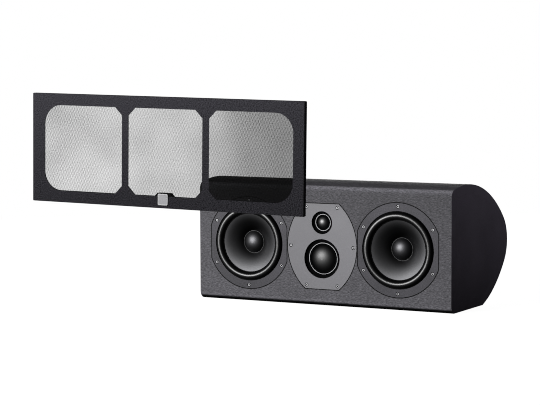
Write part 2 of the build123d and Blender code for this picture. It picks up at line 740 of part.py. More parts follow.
def dome(radius, height, roll, rise, lip, base):
    """Cloth dome, its roll edge and flat rim, formed as one piece."""
    cloth = DOME_CLOTH
    roll_end = radius + roll
    return turned(
        cap_arc(radius, height, base, True),
        section_arc((radius, base), (radius + roll / 2, base - rise), (roll_end, base)),
        section_lines((roll_end, base), (lip, base), (lip, base + cloth), (roll_end, base + cloth)),
        section_arc((roll_end, base + cloth), (radius + roll / 2, base - rise + cloth),
                    (radius, base + cloth)),
        cap_arc(radius, height, base + cloth, False),
        section_lines((0, base - height + cloth), (0, base - height)))


class DomeUnit:
    """Pieces of one dome driver, all worked out from its own sizes."""

    def __init__(self, opening, flange_radius, horn_step, throat_depth, rim, height, roll,
                 roll_rise, ring_width, ring_height, motor_margin, plate, magnet, yoke, magnet_wall):
        self.opening = opening / 2
        self.outer = flange_radius
        self.throat = self.opening - horn_step
        self.throat_depth = throat_depth
        self.radius = self.throat - rim - roll
        self.height = height
        self.roll = roll
        self.roll_rise = roll_rise
        self.ring_width = ring_width
        self.ring_height = ring_height
        self.motor = self.radius + motor_margin
        self.magnet_wall = magnet_wall
        self.base = throat_depth + ring_height
        self.motor_front = self.base + DOME_CLOTH + DOME_SEAT
        self.magnet_front = self.motor_front + plate
        self.yoke_front = self.magnet_front + magnet
        self.end = self.yoke_front + yoke
        self.coil_outer = self.radius - GLUE_LINE

    def flange(self):
        """Moulded ring behind the plate."""
        return dome_flange(self)

    def trim_ring(self):
        """Thin bright ring on the dome's rim."""
        outer = self.throat - GLUE_LINE
        front = self.base - self.ring_height
        return ring(outer - self.ring_width, outer, front, self.base)

    def diaphragm(self):
        """Dome, roll edge and rim."""
        return dome(self.radius, self.height, self.roll, self.roll_rise,
                    self.throat - GLUE_LINE, self.base)

    def voice_coil(self):
        """Coil under the dome's edge, in the gap of the motor."""
        start = self.base + DOME_CLOTH + GLUE_LINE
        return ring(self.coil_outer - COIL_WALL, self.coil_outer, start,
                    self.magnet_front + COIL_REACH)

    def top_plate(self):
        """Front pole plate."""
        return ring(self.coil_outer + COIL_GAP, self.motor, self.motor_front,
                    self.magnet_front)

    def magnet(self):
        """Ring magnet."""
        return ring(self.motor - self.magnet_wall, self.motor, self.magnet_front,
                    self.yoke_front)

    def yoke(self):
        """Back plate and pole, turned from one piece."""
        pole = self.coil_outer - COIL_WALL - COIL_GAP
        return turned_polygon(
            (0, self.motor_front), (pole, self.motor_front), (pole, self.yoke_front),
            (self.motor, self.yoke_front), (self.motor, self.end), (0, self.end))


midrange = DomeUnit(
    MID_OPENING, mid_flange_radius, MID_HORN_STEP, MID_THROAT_DEPTH, MID_DOME_RIM,
    MID_DOME_HEIGHT, MID_ROLL_WIDTH, MID_ROLL_RISE, MID_RING_WIDTH, MID_RING_HEIGHT,
    MID_MOTOR_MARGIN, MID_PLATE_THICKNESS, MID_MAGNET_THICKNESS, MID_YOKE_THICKNESS,
    MID_MAGNET_WALL)
tweeter = DomeUnit(
    TWEETER_OPENING, tweeter_flange_radius, TWEETER_HORN_STEP, TWEETER_THROAT_DEPTH,
    TWEETER_DOME_RIM, TWEETER_DOME_HEIGHT, TWEETER_ROLL_WIDTH, TWEETER_ROLL_RISE,
    TWEETER_RING_WIDTH, TWEETER_RING_HEIGHT, TWEETER_MOTOR_MARGIN,
    TWEETER_PLATE_THICKNESS, TWEETER_MAGNET_THICKNESS, TWEETER_YOKE_THICKNESS,
    TWEETER_MAGNET_WALL)
mid_chamber_end = midrange.end + MID_CHAMBER_LENGTH


def mid_rear_chamber():
    """Sealed can behind the midrange's motor."""
    start = midrange.end
    end = mid_chamber_end
    outer = midrange.motor - MID_CHAMBER_STEP
    return turned_polygon(
        (outer - CHAMBER_WALL, start), (outer, start), (outer, end), (0, end),
        (0, end - CHAMBER_WALL), (outer - CHAMBER_WALL, end - CHAMBER_WALL))


board_floor = WALL + STANDOFF_HEIGHT
board_top = board_floor + BOARD_THICKNESS
board_half = brace_outer - BRACE_THICKNESS - BOARD_SIDE_CLEARANCE
board_back = floor_end(WALL) - BOARD_REAR_CLEARANCE
inductor_row = board_back - BOARD_WIRE_STRIP - INDUCTOR_DIAMETER / 2
capacitor_row = inductor_row - INDUCTOR_DIAMETER / 2 - BOARD_PART_GAP - CAPACITOR_LENGTH / 2
resistor_back = capacitor_row - CAPACITOR_LENGTH / 2 - BOARD_PART_GAP
board_front = resistor_back - RESISTOR_SIZE - RESISTOR_INSET


def crossover_board():
    """Circuit board above the bottom panel."""
    return block((-board_half, board_half), (board_front, board_back), (board_floor, board_top))


def upright(x, y, low, high, radius):
    """Upright round bar."""
    bar = Cylinder(radius, high - low, align=(Align.CENTER, Align.CENTER, Align.MIN))
    return Pos(x, y, low) * bar


def standoffs():
    """Spacers under the corners of the board."""
    x = board_half - STANDOFF_INSET
    rows = (board_front + STANDOFF_INSET, board_back - STANDOFF_INSET)
    return Compound(children=[upright(sx * x, y, WALL, board_floor, STANDOFF_DIAMETER / 2)
                              for sx in (-1, 1) for y in rows])


def inductors():
    """Air-core coils at the board's two rear corners."""
    x = board_half - INDUCTOR_DIAMETER / 2
    coils = []
    for side in (-1, 1):
        coil = upright(side * x, inductor_row, board_top, board_top + INDUCTOR_HEIGHT,
                       INDUCTOR_DIAMETER / 2)
        coil -= upright(side * x, inductor_row, board_top, board_top + INDUCTOR_HEIGHT,
                        INDUCTOR_BORE / 2)
        coils.append(coil)
    return Compound(children=coils)


def capacitors():
    """Film capacitors that lie side by side in front of the coils."""
    radius = CAPACITOR_DIAMETER / 2
    height = board_top + radius + GLUE_LINE
    cans = []
    for index in (-1, 0, 1):
        can = Cylinder(radius, CAPACITOR_LENGTH)
        cans.append(Location((index * CAPACITOR_PITCH, capacitor_row, height), (90, 0, 0)) * can)
    return Compound(children=cans)


def resistors():
    """Ceramic resistors in line along the front edge of the board."""
    near = RESISTOR_GAP / 2
    far = near + RESISTOR_LENGTH
    depth = (resistor_back - RESISTOR_SIZE, resistor_back)
    height = (board_top, board_top + RESISTOR_SIZE)
    return Compound(children=[block((-far, -near), depth, height), block((near, far), depth, height)])


def wire(*points):
    """Insulated wire along straight runs with rounded bends."""
    path = FilletPolyline(*points, radius=WIRE_BEND)
    start = Plane(path @ 0, z_dir=path % 0)
    return sweep(start * Circle(WIRE_DIAMETER / 2), path=path)


def hookup_wires():
    """Wires from the terminals to the board and from the board to the drivers."""
    y = board_back - WIRE_INSET
    z = back_centre_height
    lug_end = cup_floor - CUP_WALL - LUG_LENGTH
    basket_top = driver_height + BASKET_REAR_DIAMETER / 2
    basket_y = BASKET_DEPTH - BASKET_REAR_HEIGHT / 2
    arch = basket_top + WOOFER_WIRE_RISE
    wires = [
        wire((DOME_WIRE_X, y, board_top), (DOME_WIRE_X, y, mid_height),
             (DOME_WIRE_X, mid_chamber_end, mid_height)),
        wire((-DOME_WIRE_X, y, board_top), (-DOME_WIRE_X, y, tweeter_height),
             (-DOME_WIRE_X, tweeter.end, tweeter_height)),
    ]
    for side in (-1, 1):
        lug_x = side * POST_SPACING / 2
        wires.append(wire((lug_x, lug_end, z), (lug_x, y, z), (lug_x, y, board_top)))
        near = side * WOOFER_WIRE_X
        far = side * woofer_offset
        wires.append(wire((near, y, board_top), (near, y, driver_height), (far, y, arch),
                          (far, basket_y, arch), (far, basket_y, basket_top)))
    return Compound(children=wires)


def terminal_cup():
    """Moulded cup on the back, with a flange and a recess for the binding posts."""
    z = back_centre_height
    half_x = TERMINAL_WIDTH / 2
    half_z = TERMINAL_HEIGHT / 2
    wall_x = CUP_WIDTH / 2 + CUP_WALL
    wall_z = CUP_HEIGHT / 2 + CUP_WALL
    face = rear_flat + TERMINAL_FLANGE
    cup = block((-half_x, half_x), (rear_flat, face), (z - half_z, z + half_z))
    cup += block((-wall_x, wall_x), (cup_floor - CUP_WALL, rear_flat), (z - wall_z, z + wall_z))
    cup -= block((-CUP_WIDTH / 2, CUP_WIDTH / 2), (cup_floor, face),
                 (z - CUP_HEIGHT / 2, z + CUP_HEIGHT / 2))
    for side in (-1, 1):
        lug = LUG_DIAMETER / 2 + SHANK_CLEARANCE
        cup -= rod(side * POST_SPACING / 2, z, cup_floor - CUP_WALL, cup_floor, lug)
    for x, sz in terminal_screw_places():
        hole = SCREW_SHANK_DIAMETER / 2 + SHANK_CLEARANCE
        cup -= rod(x, sz, rear_flat, face, hole)
    return cup


def binding_post(side):
    """Threaded metal post with a plug socket, a collar and an inner lug."""
    x = side * POST_SPACING / 2
    z = back_centre_height
    tip = cup_floor + POST_LENGTH
    post = rod(x, z, cup_floor, cup_floor + POST_COLLAR_HEIGHT, POST_COLLAR_DIAMETER / 2)
    post += rod(x, z, cup_floor, tip, POST_DIAMETER / 2)
    post += rod(x, z, cup_floor - CUP_WALL - LUG_LENGTH, cup_floor, LUG_DIAMETER / 2)
    return post - rod(x, z, tip - SOCKET_DEPTH, tip, SOCKET_DIAMETER / 2)


def post_knob(side):
    """Fluted clamping knob that turns on its post."""
    x = side * POST_SPACING / 2
    z = back_centre_height
    start = cup_floor + POST_COLLAR_HEIGHT + GLUE_LINE
    end = start + KNOB_LENGTH
    knob = rod(x, z, start, end, KNOB_DIAMETER / 2)
    knob -= rod(x, z, start, end, POST_DIAMETER / 2 + KNOB_CLEARANCE)
    for dx, dz in circle_points(KNOB_DIAMETER / 2, KNOB_FLUTES, 0):
        knob -= rod(x + dx, z + dz, start, end, KNOB_FLUTE_DIAMETER / 2)
    return knob


def terminal_nuts():
    """Hexagon nuts that hold the posts inside the cup."""
    nuts = []
    back = cup_floor - CUP_WALL
    for side in (-1, 1):
        place = Location((side * POST_SPACING / 2, back, back_centre_height), (90, 0, 0))
        hexagon = place * RegularPolygon(NUT_WIDTH / 2, 6, major_radius=False)
        nut = extrude(hexagon, NUT_HEIGHT, dir=(0, -1, 0))
        hole = LUG_DIAMETER / 2 + SHANK_CLEARANCE
        nut -= rod(side * POST_SPACING / 2, back_centre_height, back - NUT_HEIGHT, back, hole)
        nuts.append(nut)
    return Compound(children=nuts)


def window_outline(inner, outer):
    """Side window of the grille: chamfered towards the middle, rounded at the end."""
    tall = GRILLE_HEIGHT / 2 - GRILLE_MARGIN
    cut = GRILLE_INNER_CHAMFER
    radius = GRILLE_CORNER_RADIUS
    edge = outer - radius
    bend = radius * sin(radians(45))
    side = tall - radius
    edges = [
        Polyline((edge, 0, -tall), (inner + cut, 0, -tall), (inner, 0, cut - tall),
                 (inner, 0, tall - cut), (inner + cut, 0, tall), (edge, 0, tall)),
        ThreePointArc((edge, 0, tall), (edge + bend, 0, side + bend), (outer, 0, side)),
        Line((outer, 0, side), (outer, 0, -side)),
        ThreePointArc((outer, 0, -side), (edge + bend, 0, -side - bend), (edge, 0, -tall)),
    ]
    return make_face(edges)


def centre_window():
    """Middle window of the grille, with the tab behind the badge at its foot."""
    tall = GRILLE_HEIGHT / 2 - GRILLE_MARGIN
    half = GRILLE_CENTRE_WINDOW / 2
    cut = GRILLE_INNER_CHAMFER
    foot = GRILLE_TAB_WIDTH / 2
    head = GRILLE_TAB_TOP / 2
    tab = GRILLE_TAB_HEIGHT - tall
    corners = [(half, cut - tall), (half, tall - cut), (half - cut, tall), (cut - half, tall),
               (-half, tall - cut), (-half, cut - tall), (cut - half, -tall), (-foot, -tall),
               (-head, tab), (head, tab), (foot, -tall), (half - cut, -tall)]
    points = [(x, 0, z) for x, z in corners]
    return make_face(Polyline(*points, points[0]))


grille_place = Location((GRILLE_SHIFT, -GRILLE_AHEAD, baffle_middle + GRILLE_LIFT),
                        (0, GRILLE_TURN, 0))


def grille_frame():
    """Board with three windows and magnet pockets in its back."""
    half = grille_width / 2
    tall = GRILLE_HEIGHT / 2
    frame = block((-half, half), (0, GRILLE_THICKNESS), (-tall, tall))
    frame = fillet(frame.edges().filter_by(Axis.Y), GRILLE_EDGE_RADIUS)
    inner = GRILLE_CENTRE_WINDOW / 2 + GRILLE_MULLION
    side = window_outline(inner, half - GRILLE_MARGIN)
    for window in (side, mirror(side, Plane.YZ), centre_window()):
        frame -= extrude(window, GRILLE_THICKNESS, dir=(0, 1, 0))
    pocket = MAGNET_DISC_DIAMETER / 2 + GLUE_LINE
    for x, z in magnet_places():
        frame -= rod(x, z, GRILLE_THICKNESS - MAGNET_DISC_THICKNESS, GRILLE_THICKNESS, pocket)
    return grille_place * frame


def grille_cloth():
    """Acoustic cloth stretched over the front of the frame."""
    half = grille_width / 2
    tall = GRILLE_HEIGHT / 2
    sheet = block((-half, half), (-CLOTH_THICKNESS, 0), (-tall, tall))
    return grille_place * fillet(sheet.edges().filter_by(Axis.Y), GRILLE_EDGE_RADIUS)


def grille_badge():
    """Blank square badge at the foot of the grille."""
    half = BADGE_SIZE / 2
    front = -CLOTH_THICKNESS - BADGE_THICKNESS
    badge = block((-half, half), (front, -CLOTH_THICKNESS), (-BADGE_DROP - half, half - BADGE_DROP))
    return grille_place * fillet(badge.edges().filter_by(Axis.Y), BADGE_CORNER)


def grille_magnets():
    """Holding discs in the back of the grille frame."""
    start = GRILLE_THICKNESS - MAGNET_DISC_THICKNESS
    discs = [rod(x, z, start, GRILLE_THICKNESS, MAGNET_DISC_DIAMETER / 2)
             for x, z in magnet_places()]
    return Compound(children=[grille_place * disc for disc in discs])


def baffle_magnets():
    """Holding discs hidden behind the face of the baffle."""
    end = MAGNET_SKIN + MAGNET_DISC_THICKNESS
    return Compound(children=[rod(x, baffle_middle + z, MAGNET_SKIN, end, MAGNET_DISC_DIAMETER / 2)
                              for x, z in magnet_places()])


def cabinet_pieces():
    """Boards of the box."""
    body = cabinet_body()
    return {
        "front_baffle": front_baffle(body),
        "bottom_panel": bottom_panel(body),
        "cabinet_shell": cabinet_shell(body),
        "left_end_panel": end_panel(-1),
        "right_end_panel": end_panel(1),
        "left_brace": brace(-1),
        "right_brace": brace(1),
        "baffle_magnets": baffle_magnets(),
    }


def woofer_pieces(name, x):
    """Pieces of one woofer at its place on the baffle."""
    place = at_driver(x, driver_height)
    return {
        name + "_basket": Pos(x, 0, driver_height) * basket(),
        name + "_surround": place * surround(),
        name + "_cone": place * cone(),
        name + "_dust_cap": place * dust_cap(),
        name + "_voice_coil": place * voice_coil(),
        name + "_spider": place * spider(),
        name + "_top_plate": place * woofer_top_plate(),
        name + "_magnet": place * woofer_magnet(),
        name + "_yoke": place * woofer_yoke(),
    }


def dome_pieces(name, unit, height):
    """Pieces of one dome driver behind the plate."""
    place = at_driver(0, height)
    return {
        name + "_flange": place * unit.flange(),
        name + "_trim_ring": place * unit.trim_ring(),
        name + "_dome": place * unit.diaphragm(),
        name + "_voice_coil": place * unit.voice_coil(),
        name + "_top_plate": place * unit.top_plate(),
        name + "_magnet": place * unit.magnet(),
        name + "_yoke": place * unit.yoke(),
    }


def all_pieces():
    """Every piece of the loudspeaker by name."""
    pieces = cabinet_pieces()
    pieces.update(woofer_pieces("left_woofer", -woofer_offset))
    pieces.update(woofer_pieces("right_woofer", woofer_offset))
    pieces["driver_plate"] = driver_plate()
    pieces.update(dome_pieces("midrange", midrange, mid_height))
    pieces["midrange_rear_chamber"] = at_driver(0, mid_height) * mid_rear_chamber()
    pieces.update(dome_pieces("tweeter", tweeter, tweeter_height))
    woofer_screws = woofer_screw_places(-woofer_offset) + woofer_screw_places(woofer_offset)
    head_depth = counterbore_depth - SCREW_HEAD_HEIGHT
    pieces["woofer_screws"] = screw_set(woofer_screws, head_depth, True)
    pieces["plate_screws"] = screw_set(plate_screw_places(), head_depth, True)
    pieces["crossover_board"] = crossover_board()
    pieces["board_standoffs"] = standoffs()
    pieces["inductors"] = inductors()
    pieces["capacitors"] = capacitors()
    pieces["resistors"] = resistors()
    pieces["hookup_wires"] = hookup_wires()
    pieces["terminal_cup"] = terminal_cup()
    pieces["binding_posts"] = Compound(children=[binding_post(-1), binding_post(1)])
    pieces["red_knob"] = post_knob(-1)
    pieces["black_knob"] = post_knob(1)
    pieces["terminal_nuts"] = terminal_nuts()
    terminal_head = rear_flat + TERMINAL_FLANGE + SCREW_HEAD_HEIGHT
    pieces["terminal_screws"] = screw_set(terminal_screw_places(), terminal_head, False)
    pieces["grille_frame"] = grille_frame()
    pieces["grille_cloth"] = grille_cloth()
    pieces["grille_badge"] = grille_badge()
    pieces["grille_magnets"] = grille_magnets()
    return pieces


def main():
    """Write each piece to its own file, with the origin on the base."""
    os.makedirs("parts", exist_ok=True)
    to_base = Location((0, -base_middle, 0))
    for name, piece in all_pieces().items():
        export_step(to_base * piece, os.path.join("parts", name + ".step"))


main()
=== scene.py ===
"""Looks of a center channel loudspeaker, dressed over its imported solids."""

from __future__ import annotations

import json
import logging
import math
from dataclasses import dataclass
from enum import Enum
from functools import lru_cache
from typing import Sequence, Union

import bmesh
import bpy
from mathutils import Matrix, Vector

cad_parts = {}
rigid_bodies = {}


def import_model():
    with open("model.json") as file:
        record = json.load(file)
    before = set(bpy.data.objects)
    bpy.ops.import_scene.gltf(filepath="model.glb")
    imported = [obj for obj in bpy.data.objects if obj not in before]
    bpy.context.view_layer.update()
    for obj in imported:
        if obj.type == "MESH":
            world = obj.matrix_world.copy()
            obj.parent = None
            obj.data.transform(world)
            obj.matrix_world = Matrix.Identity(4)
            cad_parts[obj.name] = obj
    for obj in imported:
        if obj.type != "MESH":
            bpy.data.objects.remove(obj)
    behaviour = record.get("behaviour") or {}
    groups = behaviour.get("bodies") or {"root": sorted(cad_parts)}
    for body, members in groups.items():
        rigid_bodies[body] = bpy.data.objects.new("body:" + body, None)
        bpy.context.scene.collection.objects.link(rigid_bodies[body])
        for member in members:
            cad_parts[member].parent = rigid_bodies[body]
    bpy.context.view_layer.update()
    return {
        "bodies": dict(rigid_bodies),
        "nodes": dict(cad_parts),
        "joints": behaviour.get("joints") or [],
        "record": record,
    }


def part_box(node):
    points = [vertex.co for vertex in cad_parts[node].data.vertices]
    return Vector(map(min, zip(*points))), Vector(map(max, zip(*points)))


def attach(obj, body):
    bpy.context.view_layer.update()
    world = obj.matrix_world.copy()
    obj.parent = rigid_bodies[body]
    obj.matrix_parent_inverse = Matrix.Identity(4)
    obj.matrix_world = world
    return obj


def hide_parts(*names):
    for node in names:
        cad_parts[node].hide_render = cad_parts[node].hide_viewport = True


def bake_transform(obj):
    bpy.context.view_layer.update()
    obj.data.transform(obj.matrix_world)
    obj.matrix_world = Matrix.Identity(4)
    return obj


LOG = logging.getLogger("center_speaker")

Socket = bpy.types.NodeSocket
Colour = tuple[float, float, float]
Point = tuple[float, float, float]
Pair = tuple[float, float]
Number = Union[float, "Value"]

# Sizes that several pieces share, in metres
FRONT_Y = -0.084
WOOFER_X = 0.1603
DRIVER_Z = 0.1155
FLANGE_RADIUS = 0.0897
FLANGE_FLAT = 0.0835
PLATE_HALF_HEIGHT = 0.0824
PLATE_BOW_CENTRE = 0.0349
PLATE_BOW_RADIUS = 0.1087

PICTURE_WIDTH = 540


class Side(Enum):
    """One of the two woofers, as the sign of its place across the cabinet."""

    LEFT = -1
    RIGHT = 1

    @property
    def word(self) -> str:
        """Word for the side in the names of nodes and bodies."""
        return self.name.lower()


class Facing(Enum):
    """Way that a screw's head points, as its turn about X."""

    FRONT = math.pi / 2
    BACK = -math.pi / 2


# Node trees
class Value:
    """A socket that takes part in Python arithmetic.

    Each operation adds one Math node to the tree that holds the socket.
    """

    def __init__(self, tree: "Tree", socket: Socket) -> None:
        """Wrap one output socket of a tree."""
        self.tree = tree
        self.socket = socket

    def __add__(self, other: Number) -> "Value":
        """Sum."""
        return self.tree.math("ADD", self, other)

    __radd__ = __add__

    def __sub__(self, other: Number) -> "Value":
        """Difference."""
        return self.tree.math("SUBTRACT", self, other)

    def __rsub__(self, other: Number) -> "Value":
        """Difference with this value taken away."""
        return self.tree.math("SUBTRACT", other, self)

    def __mul__(self, other: Number) -> "Value":
        """Product."""
        return self.tree.math("MULTIPLY", self, other)

    __rmul__ = __mul__

    def __truediv__(self, other: Number) -> "Value":
        """Quotient."""
        return self.tree.math("DIVIDE", self, other)

    def __rtruediv__(self, other: Number) -> "Value":
        """Quotient with this value below."""
        return self.tree.math("DIVIDE", other, self)

    def __abs__(self) -> "Value":
        """Size without the sign."""
        return self.tree.math("ABSOLUTE", self)


class Tree:
    """A node tree, with one way to add nodes and one to add maths."""

    def __init__(self, tree: bpy.types.NodeTree) -> None:
        """Take over a tree and empty it."""
        self.tree = tree
        self.tree.nodes.clear()

    def node(self, kind: str, settings: dict | None = None,
             inputs: dict | None = None) -> bpy.types.Node:
        """Add one node.

        Args:
            kind: Blender's type name of the node.
            settings: Properties, which are set first.
            inputs: Values or links of its sockets, by name or index; a list holds several links.

        Returns:
            The node.
        """
        made = self.tree.nodes.new(kind)
        for name, setting in (settings or {}).items():
            setattr(made, name, setting)
        for key, given in (inputs or {}).items():
            for entry in given if isinstance(given, list) else [given]:
                if isinstance(entry, Value):
                    self.tree.links.new(entry.socket, made.inputs[key])
                elif isinstance(entry, Socket):
                    self.tree.links.new(entry, made.inputs[key])
                else:
                    made.inputs[key].default_value = entry
        return made

    def math(self, operation: str, *operands: Number) -> Value:
        """Add one Math node.

        Args:
            operation: Blender's name of the operation.
            operands: Values or plain numbers, in order.

        Returns:
            The result.
        """
        made = self.node("ShaderNodeMath", {"operation": operation}, dict(enumerate(operands)))
        return Value(self, made.outputs[0])


class Shader(Tree):
    """Node tree of one material or of the world."""

    def place(self, rate: Point) -> Socket:
        """Object coordinates in metres, times a rate on each axis.

        Args:
            rate: The three rates.

        Returns:
            The vector.
        """
        source = self.node("ShaderNodeTexCoord").outputs["Object"]
        made = self.node("ShaderNodeVectorMath", {"operation": "MULTIPLY"}, {0: source, 1: rate})
        return made.outputs[0]

    def spot(self) -> tuple[Value, Value, Value]:
        """Place across, from front to back and in height, in metres."""
        return self.split(self.node("ShaderNodeTexCoord").outputs["Object"])

    def flat_spot(self, layout: str) -> tuple[Value, Value]:
        """The two coordinates of a UV map that is laid out in metres."""
        first, second, _ = self.split(self.node("ShaderNodeUVMap", {"uv_map": layout}).outputs["UV"])
        return first, second

    def split(self, vector: Socket) -> tuple[Value, Value, Value]:
        """The three parts of a vector."""
        parts = self.node("ShaderNodeSeparateXYZ", None, {0: vector}).outputs
        return Value(self, parts[0]), Value(self, parts[1]), Value(self, parts[2])

    def reach(self, first: Value, second: Value) -> Value:
        """Length of a line that goes so far along two square axes."""
        return self.math("SQRT", first * first + second * second)

    def most(self, first: Value, second: Number) -> Value:
        """The larger of two values."""
        return self.math("MAXIMUM", first, second)

    def least(self, first: Value, second: Number) -> Value:
        """The smaller of two values."""
        return self.math("MINIMUM", first, second)

    def wave(self, value: Value) -> Value:
        """Sine of a value."""
        return self.math("SINE", value)

    def threads(self, value: Value, pitch: float) -> Value:
        """Ridge of each thread at a pitch: one on top, nought between two."""
        return abs(self.wave(value * (math.pi / pitch)))

    def noise(self, vector: Socket, scale: float = 1.0, detail: float = 2.0,
              roughness: float = 0.5) -> Value:
        """Noise from nought to one, about one half on average.

        Args:
            vector: Place at which the noise is read.
            scale: Factor on the place.
            detail: How many finer layers are added.
            roughness: Share of each finer layer.

        Returns:
            The noise.
        """
        made = self.node("ShaderNodeTexNoise", {"noise_dimensions": "3D"},
                         {"Vector": vector, "Scale": scale, "Detail": detail,
                          "Roughness": roughness})
        return Value(self, made.outputs[0])

    def flat_noise(self, across: Value, along: Value, rate: float, layer: float,
                   detail: float = 1.0, roughness: float = 0.5) -> Value:
        """Noise over a flat layout.

        Args:
            across: First coordinate of the layout.
            along: Second coordinate.
            rate: Factor on both.
            layer: Third coordinate, which tells one noise from another.
            detail: How many finer layers are added.
            roughness: Share of each finer layer.

        Returns:
            The noise, from nought to one.
        """
        spot = self.node("ShaderNodeCombineXYZ", None, {0: across * rate, 1: along * rate, 2: layer})
        return self.noise(spot.outputs[0], detail=detail, roughness=roughness)

    def step(self, value: Value, low: float, high: float) -> Value:
        """Smooth rise from nought to one.

        Args:
            value: What is measured.
            low: Value at which the rise starts.
            high: Value at which it ends.

        Returns:
            The rise.
        """
        made = self.node("ShaderNodeMapRange", {"interpolation_type": "SMOOTHSTEP"},
                         {"Value": value, "From Min": low, "From Max": high})
        return Value(self, made.outputs[0])

    def blend(self, share: Number, first: Colour | Socket, second: Colour | Socket) -> Socket:
        """Mix of two colours.

        Args:
            share: Share of the second.
            first: Colour at nought.
            second: Colour at one.

        Returns:
            The mixed colour.
        """
        ends = [end if isinstance(end, Socket) else (*end, 1.0) for end in (first, second)]
        made = self.node("ShaderNodeMix", {"data_type": "RGBA"}, {0: share, 6: ends[0], 7: ends[1]})
        return made.outputs[2]

    def tone(self, colour: Colour, amount: Value) -> Socket:
        """A colour made lighter or darker by a factor that varies."""
        made = self.node("ShaderNodeVectorMath", {"operation": "SCALE"}, {0: colour, "Scale": amount})
        return made.outputs[0]

    def bump(self, height: Value, depth: float) -> Socket:
        """Normal of a surface whose relief is a height times a depth in metres."""
        inputs = {"Height": height, "Distance": depth, "Strength": 1.0}
        return self.node("ShaderNodeBump", None, inputs).outputs[0]

    def surface(self, inputs: dict) -> None:
        """End the tree in one Principled shader with the given sockets."""
        body = self.node("ShaderNodeBsdfPrincipled", None, inputs)
        self.node("ShaderNodeOutputMaterial", None, {"Surface": body.outputs[0]})


def even(rate: float) -> Point:
    """The same rate on all three axes."""
    return (rate, rate, rate)


def grey(level: float) -> tuple[float, float, float, float]:
    """Grey of a level, for a colour socket."""
    return (level, level, level, 1.0)


# Finishes
@dataclass(frozen=True)
class Finish:
    """A surface finish, which becomes one material."""

    name: str

    def shade(self, shader: Shader) -> None:
        """Build the finish's nodes in an empty tree."""
        raise NotImplementedError


@lru_cache(maxsize=None)
def material_of(finish: Finish) -> bpy.types.Material:
    """Material of a finish, made when it is first asked for.

    Args:
        finish: The finish.

    Returns:
        Its material, the same one each time.
    """
    material = bpy.data.materials.new(finish.name)
    material.use_nodes = True
    finish.shade(Shader(material.node_tree))
    return material


@dataclass(frozen=True)
class Mottled(Finish):
    """Plain finish with fine grain in its colour, gloss and relief."""

    colour: Colour
    roughness: float
    metallic: float = 0.0
    grain: float = 900.0
    spread: float = 0.25
    relief: float = 0.00003
    stretch: Point = (1.0, 1.0, 1.0)
    specular: float = 0.5
    cloud_size: float = 24.0
    cloud_share: float = 0.8
    gloss_sway: float = 0.12

    def light(self, shader: Shader) -> Number:
        """Factor of painted light on the colour from the place on the piece; one all over."""
        return 1.0

    def shade(self, shader: Shader) -> None:
        """Build grain that is even in all directions, or stretched along one.

        Args:
            shader: Empty tree of the material.
        """
        place = shader.place(self.stretch)
        fine = shader.noise(place, self.grain)
        cloud = shader.noise(place, self.grain / self.cloud_size)
        tone = 1.0 + self.spread * (fine - 0.5) + self.spread * self.cloud_share * (cloud - 0.5)
        shader.surface({
            "Base Color": shader.tone(self.colour, tone * self.light(shader)),
            "Roughness": self.roughness + self.gloss_sway * (cloud - 0.5),
            "Metallic": self.metallic,
            "Specular IOR Level": self.specular,
            "Normal": shader.bump(fine, self.relief),
        })


@dataclass(frozen=True)
class Recessed(Mottled):
    """Mottled finish with painted shade in what is sunk below the front face, and painted light that
    changes with height and across it.
    """

    # Depth of the painted recess shade, and the painted light's change with height and across.
    sunk: float = 0.0012
    sunk_start: float = 0.4
    sunk_share: float = 0.08
    fade: float = 0.0
    lean: float = 0.0

    def light(self, shader: Shader) -> Number:
        """Painted shade falling from one at the face to the sunk share below it, and painted light changing
        across the face.

        Args:
            shader: Tree of the material.

        Returns:
            Factor on the colour.
        """
        x, y, z = shader.spot()
        # Painted shade in counterbores, gaps and other recesses.
        below = shader.step(y - FRONT_Y, self.sunk * self.sunk_start, self.sunk)
        # Painted light that changes with height and across the face.
        level = 1.0 - self.fade * (z - DRIVER_Z) + self.lean * x
        return level * (1.0 - (1.0 - self.sunk_share) * below)


@dataclass(frozen=True)
class EndPaint(Mottled):
    """Dark paint of the cabinet's ends, with painted light that makes it a little lighter to the top and to
    the back.
    """

    height: float = 0.239
    depth: float = 0.277
    # Factors of the painted light towards the top and towards the back.
    top_lift: float = 0.9
    back_lift: float = 0.35

    def light(self, shader: Shader) -> Number:
        """Painted light that rises with height and depth, about one in the middle.

        Args:
            shader: Tree of the material.

        Returns:
            Factor on the colour.
        """
        _, y, z = shader.spot()
        up = z / self.height - 0.5
        back = (y - FRONT_Y) / self.depth - 0.5
        return 1.0 + self.top_lift * up + self.back_lift * back


